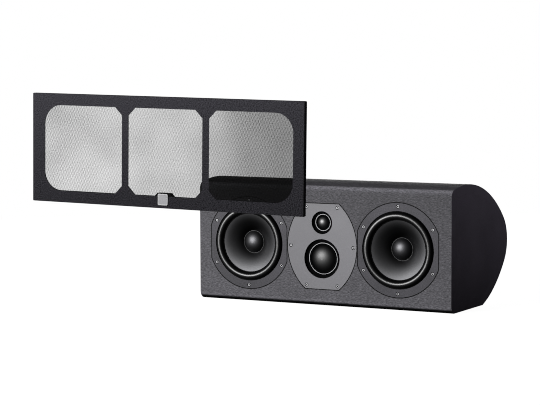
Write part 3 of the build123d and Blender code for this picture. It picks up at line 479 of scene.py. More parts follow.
@dataclass(frozen=True)
class WoodWrap(Finish):
    """Charcoal grain wrap of the cabinet, with painted ends, painted shade on its top and at its foot, a
    painted highlight on the top rounding, painted light on the bottom rounding, painted shade in and round
    the driver cut-outs, and painted light that falls off towards the top.
    """

    colour: Colour
    # Colour of the painted shade at the foot.
    foot_colour: Colour
    paint: EndPaint
    end_start: float
    foot: float
    foot_round: float
    brow_round: float
    brow: float
    crown: float
    # Shares of painted shade on the top, painted light on the bottom rounding, painted highlight on the top
    # rounding, and painted fall of light with height.
    top_share: float
    foot_lift: float
    brow_lift: float
    fade: float
    streak_rate: Point = (200.0, 760.0, 760.0)
    fleck_rate: Point = (430.0, 1100.0, 1100.0)
    mottle_rate: Point = (18.0, 40.0, 40.0)
    streak_gain: float = 1.2
    fleck_gain: float = 0.6
    mottle_gain: float = 0.17
    paint_mottle: float = 0.3
    gloss_sway: float = 0.25
    relief: float = 0.00006
    fleck_relief: float = 0.5
    end_soft: float = 0.0002
    foot_soft: Pair = (0.6, 1.2)
    crown_soft: float = 0.0009
    crown_depth: Pair = (0.09, 0.18)
    brow_depth: Pair = (0.03, 0.09)
    board_depth: Pair = (0.018, 0.020)
    # Width of the painted shadow line round the cut-outs, and its strength.
    seam_width: Pair = (0.0014, 0.0022)
    seam_dark: float = 0.97

    def seam(self, shader: Shader, x: Value, y: Value, z: Value) -> Value:
        """Painted shade in the cut-outs for the drivers, with a thin painted shadow line round each.

        Args:
            shader: Tree of the material.
            x: Place across the cabinet.
            y: Place from front to back.
            z: Height.

        Returns:
            One in the cut-outs and at their rims, where the shade is painted, nought elsewhere.
        """
        wide = abs(x) - WOOFER_X
        bowed = abs(x) + PLATE_BOW_CENTRE
        up = z - DRIVER_Z
        flange = shader.most(shader.reach(wide, up) - FLANGE_RADIUS, abs(wide) - FLANGE_FLAT)
        plate = shader.most(shader.reach(bowed, up) - PLATE_BOW_RADIUS, abs(up) - PLATE_HALF_HEIGHT)
        board = 1.0 - shader.step(y - FRONT_Y, *self.board_depth)
        return board * (1.0 - shader.step(shader.least(flange, plate), *self.seam_width))

    def shade(self, shader: Shader) -> None:
        """Build short level streaks over a soft mottle, and the masks of the end paint and of painted light
        and shade.

        Args:
            shader: Empty tree of the material.
        """
        streaks = shader.noise(shader.place(self.streak_rate))
        flecks = shader.noise(shader.place(self.fleck_rate), detail=1.0)
        mottle = shader.noise(shader.place(self.mottle_rate))
        x, y, z = shader.spot()
        end = shader.step(abs(x), self.end_start - self.end_soft, self.end_start + self.end_soft)
        # Painted shade at the foot, under the bottom rounding.
        below = 1.0 - shader.step(z, self.foot * self.foot_soft[0], self.foot * self.foot_soft[1])
        # Painted shade over the top.
        above = shader.step(z, self.crown - self.crown_soft, self.crown + self.crown_soft)
        above = above * (1.0 - shader.step(y - FRONT_Y, *self.crown_depth))
        # Painted light on the bottom rounding and painted highlight on the top rounding.
        lower = 1.0 - shader.step(z, self.foot, self.foot_round)
        upper = shader.step(z, self.brow_round, self.brow)
        upper = upper * (1.0 - shader.step(y - FRONT_Y, *self.brow_depth))
        painted_lift = 1.0 + self.foot_lift * lower + self.brow_lift * upper * upper
        grain = 1.0 + self.streak_gain * (streaks - 0.5) + self.fleck_gain * (flecks - 0.5)
        grain = grain + self.mottle_gain * (mottle - 0.5)
        shaded = 1.0 - (1.0 - self.top_share) * above
        # Painted shade in and round the driver cut-outs.
        shaded = shaded * (1.0 - self.seam_dark * self.seam(shader, x, y, z))
        # Painted light that falls off from the bottom to the top.
        shaded = shaded * (1.0 - self.fade * (z / self.brow - 0.5))
        front = shader.tone(self.colour, grain * grain * painted_lift * shaded)
        # Painted light on the painted ends.
        paint = self.paint.light(shader) + self.paint_mottle * (mottle - 0.5)
        shader.surface({
            "Base Color": shader.blend(end, shader.blend(below, front, self.foot_colour),
                                       shader.tone(self.paint.colour, paint)),
            "Roughness": self.paint.roughness + self.gloss_sway * (flecks - 0.5),
            "Specular IOR Level": self.paint.specular,
            "Normal": shader.bump((streaks + self.fleck_relief * flecks) * (1.0 - end), self.relief),
        })


@dataclass(frozen=True)
class Turned(Finish):
    """Finish that changes with the place about a woofer's axis."""

    def offset(self, shader: Shader) -> tuple[Value, Value]:
        """Place across and above the axis of the nearer of the two woofers."""
        x, _, z = shader.spot()
        return abs(x) - WOOFER_X, z - DRIVER_Z


@dataclass(frozen=True)
class EdgeRubber(Turned):
    """Black rubber of a half-roll edge, polished on its crest and dull on its lips."""

    colour: Colour
    crest: float
    half_width: float
    sheen_start: float = 0.55
    grain: float = 1100.0
    spread: float = 0.4
    roughness: float = 0.8
    specular: float = 0.08
    polish: float = 0.34
    polish_index: float = 1.8
    relief: float = 0.00001

    def shade(self, shader: Shader) -> None:
        """Build the sheen of the crest and a faint mould grain.

        Args:
            shader: Empty tree of the material.
        """
        away = abs(shader.reach(*self.offset(shader)) - self.crest)
        grain = shader.noise(shader.place(even(self.grain)))
        shader.surface({
            "Base Color": shader.tone(self.colour, 1.0 + self.spread * (grain - 0.5)),
            "Roughness": self.roughness,
            "Specular IOR Level": self.specular,
            "Coat Weight": 1.0 - shader.step(away, self.half_width * self.sheen_start, self.half_width),
            "Coat Roughness": self.polish,
            "Coat IOR": self.polish_index,
            "Normal": shader.bump(grain, self.relief),
        })


@dataclass(frozen=True)
class ConeSheet(Turned):
    """Satin sheet of a woofer's cone, with painted shade that deepens towards the middle and, inside the
    rim, towards the top; the dust cap's copy has a painted highlight in its middle instead.
    """

    colour: Colour
    roughness: float
    inner: float
    outer: float
    # Factor of the colour in the middle: below one it paints shade, above one a highlight.
    inner_share: float
    # Painted shade towards the top, and the radius where it fades out.
    lean: float = 0.0
    lean_end: float = 0.060
    fibre_rate: float = 700.0
    fibre_detail: float = 4.0
    fibre_rough: float = 0.65
    fibre_tone: float = 0.16
    cloud_rate: float = 60.0
    cloud_tone: float = 0.12
    gloss_sway: float = 0.08
    relief: float = 0.00002

    def shade(self, shader: Shader) -> None:
        """Build fibres that lie all ways over painted light and shade that change about the axis.

        Args:
            shader: Empty tree of the material.
        """
        fibres = shader.noise(shader.place(even(self.fibre_rate)), detail=self.fibre_detail,
                              roughness=self.fibre_rough)
        cloud = shader.noise(shader.place(even(self.cloud_rate)))
        across, up = self.offset(shader)
        reach = shader.reach(across, up)
        # Painted shade towards the middle of the cone, painted highlight in the middle of the cap.
        share = self.inner_share + (1.0 - self.inner_share) * shader.step(reach, self.inner, self.outer)
        # Painted shade towards the top and painted light towards the bottom.
        lean = self.lean * (1.0 - shader.step(reach, self.outer, self.lean_end))
        share = share * (1.0 - lean * (up / reach))
        tone = share * (1.0 + self.fibre_tone * (fibres - 0.5) + self.cloud_tone * (cloud - 0.5))
        shader.surface({
            "Base Color": shader.tone(self.colour, tone),
            "Roughness": self.roughness + self.gloss_sway * (fibres - 0.5),
            "Metallic": 1.0,
            "Normal": shader.bump(fibres, self.relief),
        })


@dataclass(frozen=True)
class DomeCoat(Finish):
    """Black cloth of a dome under a coat that thins out towards the roll at its edge."""

    colour: Colour
    polish: float
    polish_index: float
    axis_z: float
    edge: float
    coat_start: float = 0.3
    pitch: float = 0.0007
    weave_tone: float = 0.2
    roughness: float = 0.8
    specular: float = 0.03
    cloud_rate: float = 90.0
    gloss_sway: float = 0.1
    relief: float = 0.00003

    def shade(self, shader: Shader) -> None:
        """Build a plain weave across the dome's face, and the coat over it.

        Args:
            shader: Empty tree of the material.
        """
        x, _, z = shader.spot()
        reach = shader.reach(x, z - self.axis_z)
        weave = shader.threads(x, self.pitch) * shader.threads(z, self.pitch)
        cloud = shader.noise(shader.place(even(self.cloud_rate)))
        shader.surface({
            "Base Color": shader.tone(self.colour, 1.0 + self.weave_tone * (weave - 0.5)),
            "Roughness": self.roughness + self.gloss_sway * (cloud - 0.5),
            "Specular IOR Level": self.specular,
            "Coat Weight": 1.0 - shader.step(reach, self.edge * self.coat_start, self.edge),
            "Coat Roughness": self.polish,
            "Coat IOR": self.polish_index,
            "Normal": shader.bump(weave, self.relief),
        })


@dataclass(frozen=True)
class OpenWeave(Finish):
    """Acoustic cloth: dark threads with small holes, with painted light where the board backs it and
    painted light that rises towards the top.

    Sizes, pitches and spans are in metres on the flat cloth, with nought at its middle. Rates are
    in waves per metre. Gains, depths and levels are factors.
    """

    colour: Colour
    # Painted light of the cloth where the board backs it.
    backed_colour: Colour
    layout: str
    half_height: float
    centre_half: float
    side_start: float
    side_end: float
    round_corner: float
    chamfer: float
    lip: float
    edge_soft: float = 0.0003
    pitch: float = 0.0011
    hole: float = 0.070
    twill: float = 0.0057
    rise_lean: float = 0.61
    rise_gain: float = 0.115
    fall_pace: float = 1.11
    fall_lean: float = 0.49
    fall_gain: float = 0.100
    fine_rate: float = 520.0
    wander_gain: float = 1.1
    cloud_rate: float = 11.0
    cloud_gain: float = 0.6
    shade_span: Pair = (0.0, 0.24)
    shade_close: float = 0.60
    shade_depth: float = 0.4
    side_span: Pair = (0.06, 0.2)
    side_depth: float = 0.2
    # Level and rise of the painted light towards the top.
    lit_level: float = 0.39
    lit_rise: float = 1.65
    fleck_gain: float = 1.9
    fleck_detail: float = 3.0
    fleck_rough: float = 0.7
    roughness: float = 0.85
    relief: float = 0.0001

    def window(self, shader: Shader, across: Value, along: Value) -> Value:
        """One over the three windows of the board and nought over the board.

        Args:
            shader: Tree of the material.
            across: Distance to the right of the cloth's middle.
            along: Distance above it.

        Returns:
            The mask, with a soft edge.
        """
        u = abs(across)
        over = abs(along) - self.half_height
        outer = u - self.centre_half
        inner = self.side_start - u
        centre = shader.most(outer, over)
        centre = shader.most(centre, (outer + over + self.chamfer) * math.sqrt(0.5))
        side = shader.most(inner, over)
        side = shader.most(side, (inner + over + self.chamfer) * math.sqrt(0.5))
        bend_u = shader.most(u - (self.side_end - self.round_corner), 0.0)
        bend_v = shader.most(over + self.round_corner, 0.0)
        side = shader.most(side, shader.reach(bend_u, bend_v) - self.round_corner)
        return 1.0 - shader.step(shader.least(centre, side), -self.edge_soft, self.edge_soft)

    def shade(self, shader: Shader) -> None:
        """Build the threads, the holes between them, the twill's dots and the painted light.

        Args:
            shader: Empty tree of the material.
        """
        across, along = shader.flat_spot(self.layout)
        slant = 2.0 * math.pi / self.twill
        rise = shader.wave((across - self.rise_lean * along) * slant)
        fall = shader.wave((self.fall_pace * across + self.fall_lean * along) * slant)
        wander = shader.flat_noise(across, along, self.fine_rate, layer=0.0)
        cloud = shader.flat_noise(across, along, self.cloud_rate, layer=3.0)
        fleck = shader.flat_noise(across, along, self.fine_rate, layer=5.0, detail=self.fleck_detail,
                                  roughness=self.fleck_rough)
        shade = shader.step(across, *self.shade_span)
        depth = 1.0 + self.side_depth * shader.step(abs(across), *self.side_span) + self.shade_depth * shade
        dots = self.rise_gain * rise + self.fall_gain * fall + self.wander_gain * (wander - 0.5)
        holes = self.hole * (1.0 + depth * dots + self.cloud_gain * (cloud - 0.5))
        holes = holes * (1.0 - self.shade_close * shade)
        free = self.window(shader, across, along) * self.window(shader, across - self.lip, along)
        # Painted light that rises towards the top of the cloth.
        gain = shader.math("EXPONENT", self.lit_rise * along)
        lit = (self.lit_level * gain + self.fleck_gain * (fleck - 0.5)) * gain
        # Painted light where the board backs the cloth.
        colour = shader.blend(free, self.backed_colour, self.colour)
        threads = shader.threads(across, self.pitch) + shader.threads(along, self.pitch)
        shader.surface({
            "Base Color": shader.blend(lit, (0.0, 0.0, 0.0), colour),
            "Roughness": self.roughness,
            "Specular IOR Level": 0.0,
            "Alpha": 1.0 - holes * free,
            "Normal": shader.bump(threads, self.relief),
        })


@dataclass(frozen=True)
class SocketSteel(Finish):
    """Plated steel of a screw, with painted shade inside its socket and on its chamfer."""

    colour: Colour
    roughness: float
    mark: str
    # Colour of the painted shade in the socket and on the chamfer.
    inside_colour: Colour = (0.004, 0.004, 0.004)
    metallic: float = 0.85
    grain: float = 1500.0
    spread: float = 0.4
    gloss_sway: float = 0.2

    def shade(self, shader: Shader) -> None:
        """Build plating marks, and the painted shade of the faces that carry the mark.

        Args:
            shader: Empty tree of the material.
        """
        grain = shader.noise(shader.place(even(self.grain)))
        inside = shader.node("ShaderNodeAttribute", {"attribute_name": self.mark}).outputs["Fac"]
        tone = shader.tone(self.colour, 1.0 + self.spread * (grain - 0.5))
        shader.surface({
            # Painted shade on the faces that carry the mark.
            "Base Color": shader.blend(Value(shader, inside), tone, self.inside_colour),
            "Roughness": self.roughness + self.gloss_sway * (grain - 0.5),
            "Metallic": self.metallic,
        })


@dataclass(frozen=True)
class StudioFloor(Finish):
    """Pale matt floor that looks near white, and dark in what mirrors it."""

    level: float
    glow: float
    mirrored: float

    def shade(self, shader: Shader) -> None:
        """Build the matt floor, its glow for the eye and its dim face for gloss.

        Args:
            shader: Empty tree of the material.
        """
        path = shader.node("ShaderNodeLightPath").outputs
        matt = shader.node("ShaderNodeBsdfDiffuse", None, {"Color": grey(self.level)})
        dim = shader.node("ShaderNodeBsdfDiffuse", None, {"Color": grey(self.mirrored)})
        glow = shader.node("ShaderNodeEmission", None, {"Strength": self.glow})
        eye = shader.node("ShaderNodeAddShader", None, {0: matt.outputs[0], 1: glow.outputs[0]})
        rest = shader.node("ShaderNodeMixShader", None,
                           {0: path["Is Glossy Ray"], 1: matt.outputs[0], 2: dim.outputs[0]})
        both = shader.node("ShaderNodeMixShader", None,
                           {0: path["Is Camera Ray"], 1: rest.outputs[0], 2: eye.outputs[0]})
        shader.node("ShaderNodeOutputMaterial", None, {"Surface": both.outputs[0]})


# Finishes of the cabinet
# End paint with painted light that rises towards the top and the back.
END_PAINT = EndPaint("end_paint", (0.080, 0.071, 0.093), 0.55, grain=420.0, spread=0.5,
                     specular=0.15)
# Wrap with painted shade on the top and at the foot, painted light on the bottom rounding, a painted
# highlight on the top rounding and painted light falling off towards the top.
WRAP = WoodWrap("charcoal_wrap", (0.122, 0.119, 0.132), (0.004, 0.004, 0.0044), END_PAINT,
                end_start=0.2705, foot=0.0085, foot_round=0.016, brow_round=0.2188, brow=0.2295,
                crown=0.2317, top_share=0.48, foot_lift=0.5, brow_lift=1.5, fade=0.35)
RAW_BOARD = Mottled("raw_board", (0.42, 0.30, 0.18), 0.8, grain=1200.0, spread=0.4)
MAGNET_DISC = Mottled("magnet_disc", (0.45, 0.45, 0.46), 0.3, 1.0, grain=800.0, spread=0.2)

# Finishes of the drivers
# Cast frame with painted shade in its counterbores and gaps, and painted light rising towards the top.
CAST_COAT = Recessed("cast_coat", (0.083, 0.080, 0.093), 0.55, grain=380.0, spread=1.3,
                     relief=0.00002, specular=0.3, fade=-0.9)
RUBBER = EdgeRubber("edge_rubber", (0.004, 0.004, 0.0044), crest=0.0655, half_width=0.0046)
# Cone with painted shade towards its middle and its top.
CONE = ConeSheet("cone_sheet", (0.095, 0.095, 0.099), 0.45, inner=0.022, outer=0.038,
                 inner_share=0.35, lean=0.65)
# Dust cap with a painted highlight in its middle.
CAP = ConeSheet("cap_sheet", (0.037, 0.037, 0.039), 0.41, inner=0.008, outer=0.021, inner_share=2.7)
CAP_RING = Mottled("cap_ring", (0.07, 0.07, 0.073), 0.4, grain=1500.0, spread=0.2)
SPIDER = Mottled("spider_cloth", (0.35, 0.24, 0.09), 0.85, grain=1800.0, spread=0.5)
FORMER = Mottled("coil_former", (0.45, 0.40, 0.33), 0.4, 0.8, grain=2500.0, spread=0.3)
STEEL = Mottled("plated_steel", (0.35, 0.35, 0.35), 0.35, 1.0, grain=700.0, spread=0.2)
FERRITE = Mottled("ferrite", (0.035, 0.035, 0.037), 0.6, grain=900.0, spread=0.4)
# Plate with painted shade in its recesses, and painted light falling towards the top and rising to the
# right.
PLATE = Recessed("satin_plate", (0.128, 0.126, 0.135), 0.44, 0.5, grain=700.0, spread=0.3,
                 relief=0.000008, fade=2.0, lean=1.3)
MOULDING = Mottled("black_moulding", (0.003, 0.003, 0.0033), 0.9, grain=1600.0, spread=0.3,
                   relief=0.00002, specular=0.05)
PLASTIC = Mottled("black_plastic", (0.022, 0.022, 0.023), 0.42, grain=1100.0, spread=0.35)
BRIGHT_RING = Mottled("bright_ring", (0.22, 0.22, 0.225), 0.45, 1.0, grain=1500.0, spread=0.1,
                      relief=0.000004)
MID_DOME = DomeCoat("mid_dome_coat", (0.003, 0.003, 0.0033), 0.445, 1.92, axis_z=0.0916, edge=0.0268)
TWEETER_DOME = DomeCoat("tweeter_dome_coat", (0.003, 0.003, 0.0033), 0.39, 2.20, axis_z=0.1614,
                        edge=0.0138)
SCREW = SocketSteel("socket_steel", (0.36, 0.36, 0.37), 0.40, mark="socket")

# Finishes of the crossover and terminals
CIRCUIT = Mottled("circuit_board", (0.03, 0.12, 0.05), 0.35, grain=600.0, spread=0.3)
COPPER = Mottled("copper_winding", (0.45, 0.18, 0.07), 0.3, 1.0, grain=300.0, spread=0.5,
                 relief=0.0002, stretch=(1.0, 1.0, 6.0))
FILM = Mottled("film_can", (0.50, 0.33, 0.04), 0.3, grain=500.0, spread=0.2)
CERAMIC = Mottled("ceramic_block", (0.60, 0.59, 0.55), 0.75, grain=1500.0, spread=0.2)
SLEEVE = Mottled("wire_sleeve", (0.03, 0.03, 0.03), 0.5, grain=900.0, spread=0.2)
GOLD = Mottled("gold_plate", (0.72, 0.52, 0.20), 0.22, 1.0, grain=900.0, spread=0.15)
RED_KNOB = Mottled("red_knob", (0.42, 0.012, 0.012), 0.28, grain=900.0, spread=0.2)
BLACK_KNOB = Mottled("black_knob", (0.012, 0.012, 0.013), 0.28, grain=900.0, spread=0.2)

# Finishes of the grille and of the floor
GRILLE_BOARD = Mottled("grille_board", (0.006, 0.006, 0.0066), 0.7, grain=900.0, spread=0.5)
# Cloth whose second colour is painted light where the board backs it.
GRILLE_CLOTH = OpenWeave("grille_cloth", (0.016, 0.016, 0.0162), (0.099, 0.096, 0.112), "cut",
                         half_height=0.075, centre_half=0.076, side_start=0.084, side_end=0.249,
                         round_corner=0.034, chamfer=0.014, lip=0.0052)
BADGE_EDGE = Mottled("badge_edge", (0.008, 0.008, 0.0085), 0.6, grain=1500.0, spread=0.3)
BADGE_RIM = Mottled("badge_rim", (0.34, 0.34, 0.35), 0.4, 0.2, grain=1500.0, spread=0.3)
BADGE_FACE = Mottled("badge_face", (0.20, 0.20, 0.21), 0.45, 0.2, grain=700.0, spread=0.5)
FLOOR = StudioFloor("pale_floor", level=0.60, glow=0.965, mirrored=0.06)


# Meshes
def as_object(name: str, mesh: bpy.types.Mesh, finishes: Sequence[Finish],
              sharp: float = 35.0) -> bpy.types.Object:
    """Put a mesh in the scene.

    Args:
        name: Name of the piece.
        mesh: Its mesh, in the row frame.
        finishes: Finishes of its material slots, in order, unless it has materials already.
        sharp: Angle in degrees past which an edge stays sharp.

    Returns:
        The piece's object, at the origin.
    """
    mesh.name = name
    mesh.shade_smooth()
    mesh.set_sharp_from_angle(angle=math.radians(sharp))
    if not mesh.materials:
        for finish in finishes:
            mesh.materials.append(material_of(finish))
    piece = bpy.data.objects.new(name, mesh)
    bpy.context.scene.collection.objects.link(piece)
    return piece


def mesh_from(work: bmesh.types.BMesh, name: str, merge: bool = True) -> bpy.types.Mesh:
    """Plain mesh from a working mesh, with its faces outward.

    Args:
        work: The working mesh, which is used up.
        name: Name of the mesh.
        merge: Whether points in one place become one point.

    Returns:
        The mesh.
    """
    if merge:
        bmesh.ops.remove_doubles(work, verts=work.verts, dist=1e-7)
    bmesh.ops.recalc_face_normals(work, faces=work.faces)
    mesh = bpy.data.meshes.new(name)
    work.to_mesh(mesh)
    work.free()
    return mesh


def arc(centre: Pair, radius: float, start: float, end: float, count: int) -> list[Pair]:
    """Points of an arc in a (radius, depth) section.

    Args:
        centre: Centre of the arc.
        radius: Its radius.
        start: First angle in degrees, from the radius axis towards depth.
        end: Last angle.
        count: How many points.

    Returns:
        The points in order.
    """
    angles = [math.radians(start + (end - start) * i / (count - 1)) for i in range(count)]
    return [(centre[0] + radius * math.cos(a), centre[1] + radius * math.sin(a)) for a in angles]


def rounded(half_u: float, half_v: float, corner: float, steps: int) -> list[tuple[Pair, Pair]]:
    """Rounded rectangle about nought.

    Args:
        half_u: Half of its width.
        half_v: Half of its height.
        corner: Radius of its corners.
        steps: Points on each corner.

    Returns:
        Each point with its outward direction, in order.
    """
    pairs = []
    for index, (su, sv) in enumerate(((1, 1), (-1, 1), (-1, -1), (1, -1))):
        for step in range(steps):
            angle = math.radians(90 * index + 90 * step / (steps - 1))
            out = (math.cos(angle), math.sin(angle))
            pairs.append(((su * (half_u - corner) + corner * out[0],
                           sv * (half_v - corner) + corner * out[1]), out))
    return pairs


def lathe(name: str, section: Sequence[Pair], x: float, segments: int) -> bpy.types.Mesh:
    """Turned mesh about a woofer's axis.

    Args:
        name: Name of the mesh.
        section: Closed section as (radius, depth behind the front face) points.
        x: Place of the axis across the cabinet.
        segments: Steps round the axis.

    Returns:
        The mesh, in the row frame.
    """
    work = bmesh.new()
    rings = []
    for step in range(segments):
        turn = 2.0 * math.pi * step / segments
        across, up = math.cos(turn), math.sin(turn)
        rings.append([work.verts.new((x + radius * across, FRONT_Y + depth, DRIVER_Z + radius * up))
                      for radius, depth in section])
    count = len(section)
    for here, there in zip(rings, rings[1:] + rings[:1]):
        for i in range(count):
            j = (i + 1) % count
            work.faces.new((here[i], here[j], there[j], there[i]))
    return mesh_from(work, name)


# Sub-assemblies
@dataclass
class Assembly:
    """Group of pieces that is built and dressed together."""

    frame: dict

    def build(self) -> None:
        """Make and dress the group's pieces."""
        raise NotImplementedError

    def dress(self, coats: dict[Finish, Sequence[str]]) -> None:
        """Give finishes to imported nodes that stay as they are.

        Args:
            coats: Names of the nodes that get each finish.
        """
        for finish, nodes in coats.items():
            for node in nodes:
                self.frame["nodes"][node].material_slots[0].material = material_of(finish)
                LOG.info("dressed %s in %s", node, finish.name)

    def add(self, piece: bpy.types.Object, body: str, replaced: Sequence[str] = ()) -> None:
        """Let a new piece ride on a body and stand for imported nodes.

        Args:
            piece: The piece.
            body: Name of the body.
            replaced: Names of the nodes that it stands for.
        """
        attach(piece, body)
        if replaced:
            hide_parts(*replaced)
        LOG.info("made %s on %s", piece.name, body)


@dataclass
class Cabinet(Assembly):
    """The D-section box, its braces and the magnets behind its face."""

    def build(self) -> None:
        """Dress the boards and magnets."""
        self.dress({
            WRAP: ["front_baffle", "bottom_panel", "cabinet_shell"],
            END_PAINT: ["left_end_panel", "right_end_panel"],
            RAW_BOARD: ["left_brace", "right_brace"],
            MAGNET_DISC: ["baffle_magnets"],
        })


@dataclass
class Woofer(Assembly):
    """One woofer: its frame and motor, and the soft edge and spider that flex.

    Radii are from the woofer's axis and depths from the front face. A bend is the radius that
    stays still and the one that moves with the cone.
    """

    side: Side
    opening: float = 0.0745
    opening_gap: float = 0.0001
    seat: float = 0.0025
    rubber: float = 0.0009
    roll_centre: float = 0.0655
    roll_radius: float = 0.0065
    roll_lift: float = 0.0005
    roll_bend: Pair = (0.0722, 0.0588)
    crown_points: int = 33
    hollow_points: int = 25
    cone_edge: float = 0.0568
    spider_rim: float = 0.0504
    spider_bore: float = 0.0168
    spider_seat: float = 0.0471
    spider_cloth: float = 0.0008
    spider_drop: float = 0.005
    spider_bend: Pair = (0.0459, 0.0213)
    wave_height: float = 0.00125
    waves: int = 5
    wave_points: int = 60
    spider_segments: int = 96
    bead_centre: Pair = (0.0220, 0.0213)
    bead_radius: float = 0.00055
    bead_points: int = 16

    @property
    def x(self) -> float:
        """Place of the woofer's axis across the cabinet."""
        return self.side.value * WOOFER_X

    def node(self, piece: str) -> str:
        """Name of one of the woofer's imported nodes."""
        return f"{self.side.word}_woofer_{piece}"

    def turned(self, piece: str, section: Sequence[Pair], finish: Finish,
               segments: int = 128) -> bpy.types.Object:
        """Piece that is turned about the woofer's axis.

        Args:
            piece: Its name without the side.
            section: Its closed section.
            finish: Its finish.
            segments: Steps round the axis.

        Returns:
            The piece's object.
        """
        mesh = lathe(piece, section, self.x, segments)
        return as_object(f"{self.side.word}_{piece}", mesh, [finish])

    def bend(self, piece: bpy.types.Object, still: float, moving: float, node: str) -> None:
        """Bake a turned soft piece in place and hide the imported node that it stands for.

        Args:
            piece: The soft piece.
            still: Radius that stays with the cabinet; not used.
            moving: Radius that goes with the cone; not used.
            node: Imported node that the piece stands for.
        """
        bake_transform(piece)
        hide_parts(self.node(node))
        LOG.info("made %s, which bends with the %s cone", piece.name, self.side.word)

    def surround_section(self) -> list[Pair]:
        """Section of the half-roll edge, with its lips and a soft turn at each root.

        Returns:
            The section's points.
        """
        top = self.seat - self.rubber
        lip = self.opening - self.opening_gap
        crown = arc((self.roll_centre, top), self.roll_radius + self.rubber / 2,
                    0.0, -180.0, self.crown_points)
        hollow = arc((self.roll_centre, self.seat - self.roll_lift),
                     self.roll_radius - self.rubber / 2, -180.0, 0.0, self.hollow_points)
        return [(lip, self.seat), (lip, top), *crown, (self.cone_edge, top),
                (self.cone_edge, self.seat), *hollow]

    def spider_section(self) -> list[Pair]:
        """Section of the corrugated spider, with rounded waves.

        Returns:
            The section's points.
        """
        lip, collar = self.spider_bend
        face = [(self.spider_rim, self.spider_seat)]
        for i in range(self.wave_points + 1):
            share = i / self.wave_points
            wave = self.wave_height * math.sin(2 * math.pi * self.waves * share)
            face.append((lip + (collar - lip) * share, self.spider_seat - self.spider_drop * share - wave))
        face.append((self.spider_bore, self.spider_seat - self.spider_drop))
        back = [(radius, depth + self.spider_cloth) for radius, depth in reversed(face)]
        return face + back

    def bead_section(self) -> list[Pair]:
        """Section of the thin bead at the foot of the dust cap."""
        last = 360.0 * (1 - 1 / self.bead_points)
        return arc(self.bead_centre, self.bead_radius, 0.0, last, self.bead_points)

    def build(self) -> None:
        """Dress the hard pieces, and make the soft ones and the bead."""
        self.dress({
            CAST_COAT: [self.node("basket")],
            CONE: [self.node("cone")],
            CAP: [self.node("dust_cap")],
            FORMER: [self.node("voice_coil")],
            STEEL: [self.node("top_plate"), self.node("yoke")],
            FERRITE: [self.node("magnet")],
        })
        edge = self.turned("surround", self.surround_section(), RUBBER)
        self.bend(edge, *self.roll_bend, "surround")
        spider = self.turned("spider", self.spider_section(), SPIDER, self.spider_segments)
        self.bend(spider, *self.spider_bend, "spider")
        bead = self.turned("cap_ring", self.bead_section(), CAP_RING)
        self.add(bead, f"{self.side.word}_cone")


@dataclass
class Domes(Assembly):
    """The driver plate with its midrange and tweeter."""

    def build(self) -> None:
        """Dress the plate and both dome drivers."""
        self.dress({
            PLATE: ["driver_plate"],
            MID_DOME: ["midrange_dome"],
            TWEETER_DOME: ["tweeter_dome"],
            PLASTIC: ["midrange_rear_chamber"],
        })
        for unit in ("midrange", "tweeter"):
            self.dress({
                MOULDING: [f"{unit}_flange"],
                BRIGHT_RING: [f"{unit}_trim_ring"],
                FORMER: [f"{unit}_voice_coil"],
                STEEL: [f"{unit}_top_plate", f"{unit}_yoke"],
                FERRITE: [f"{unit}_magnet"],
            })


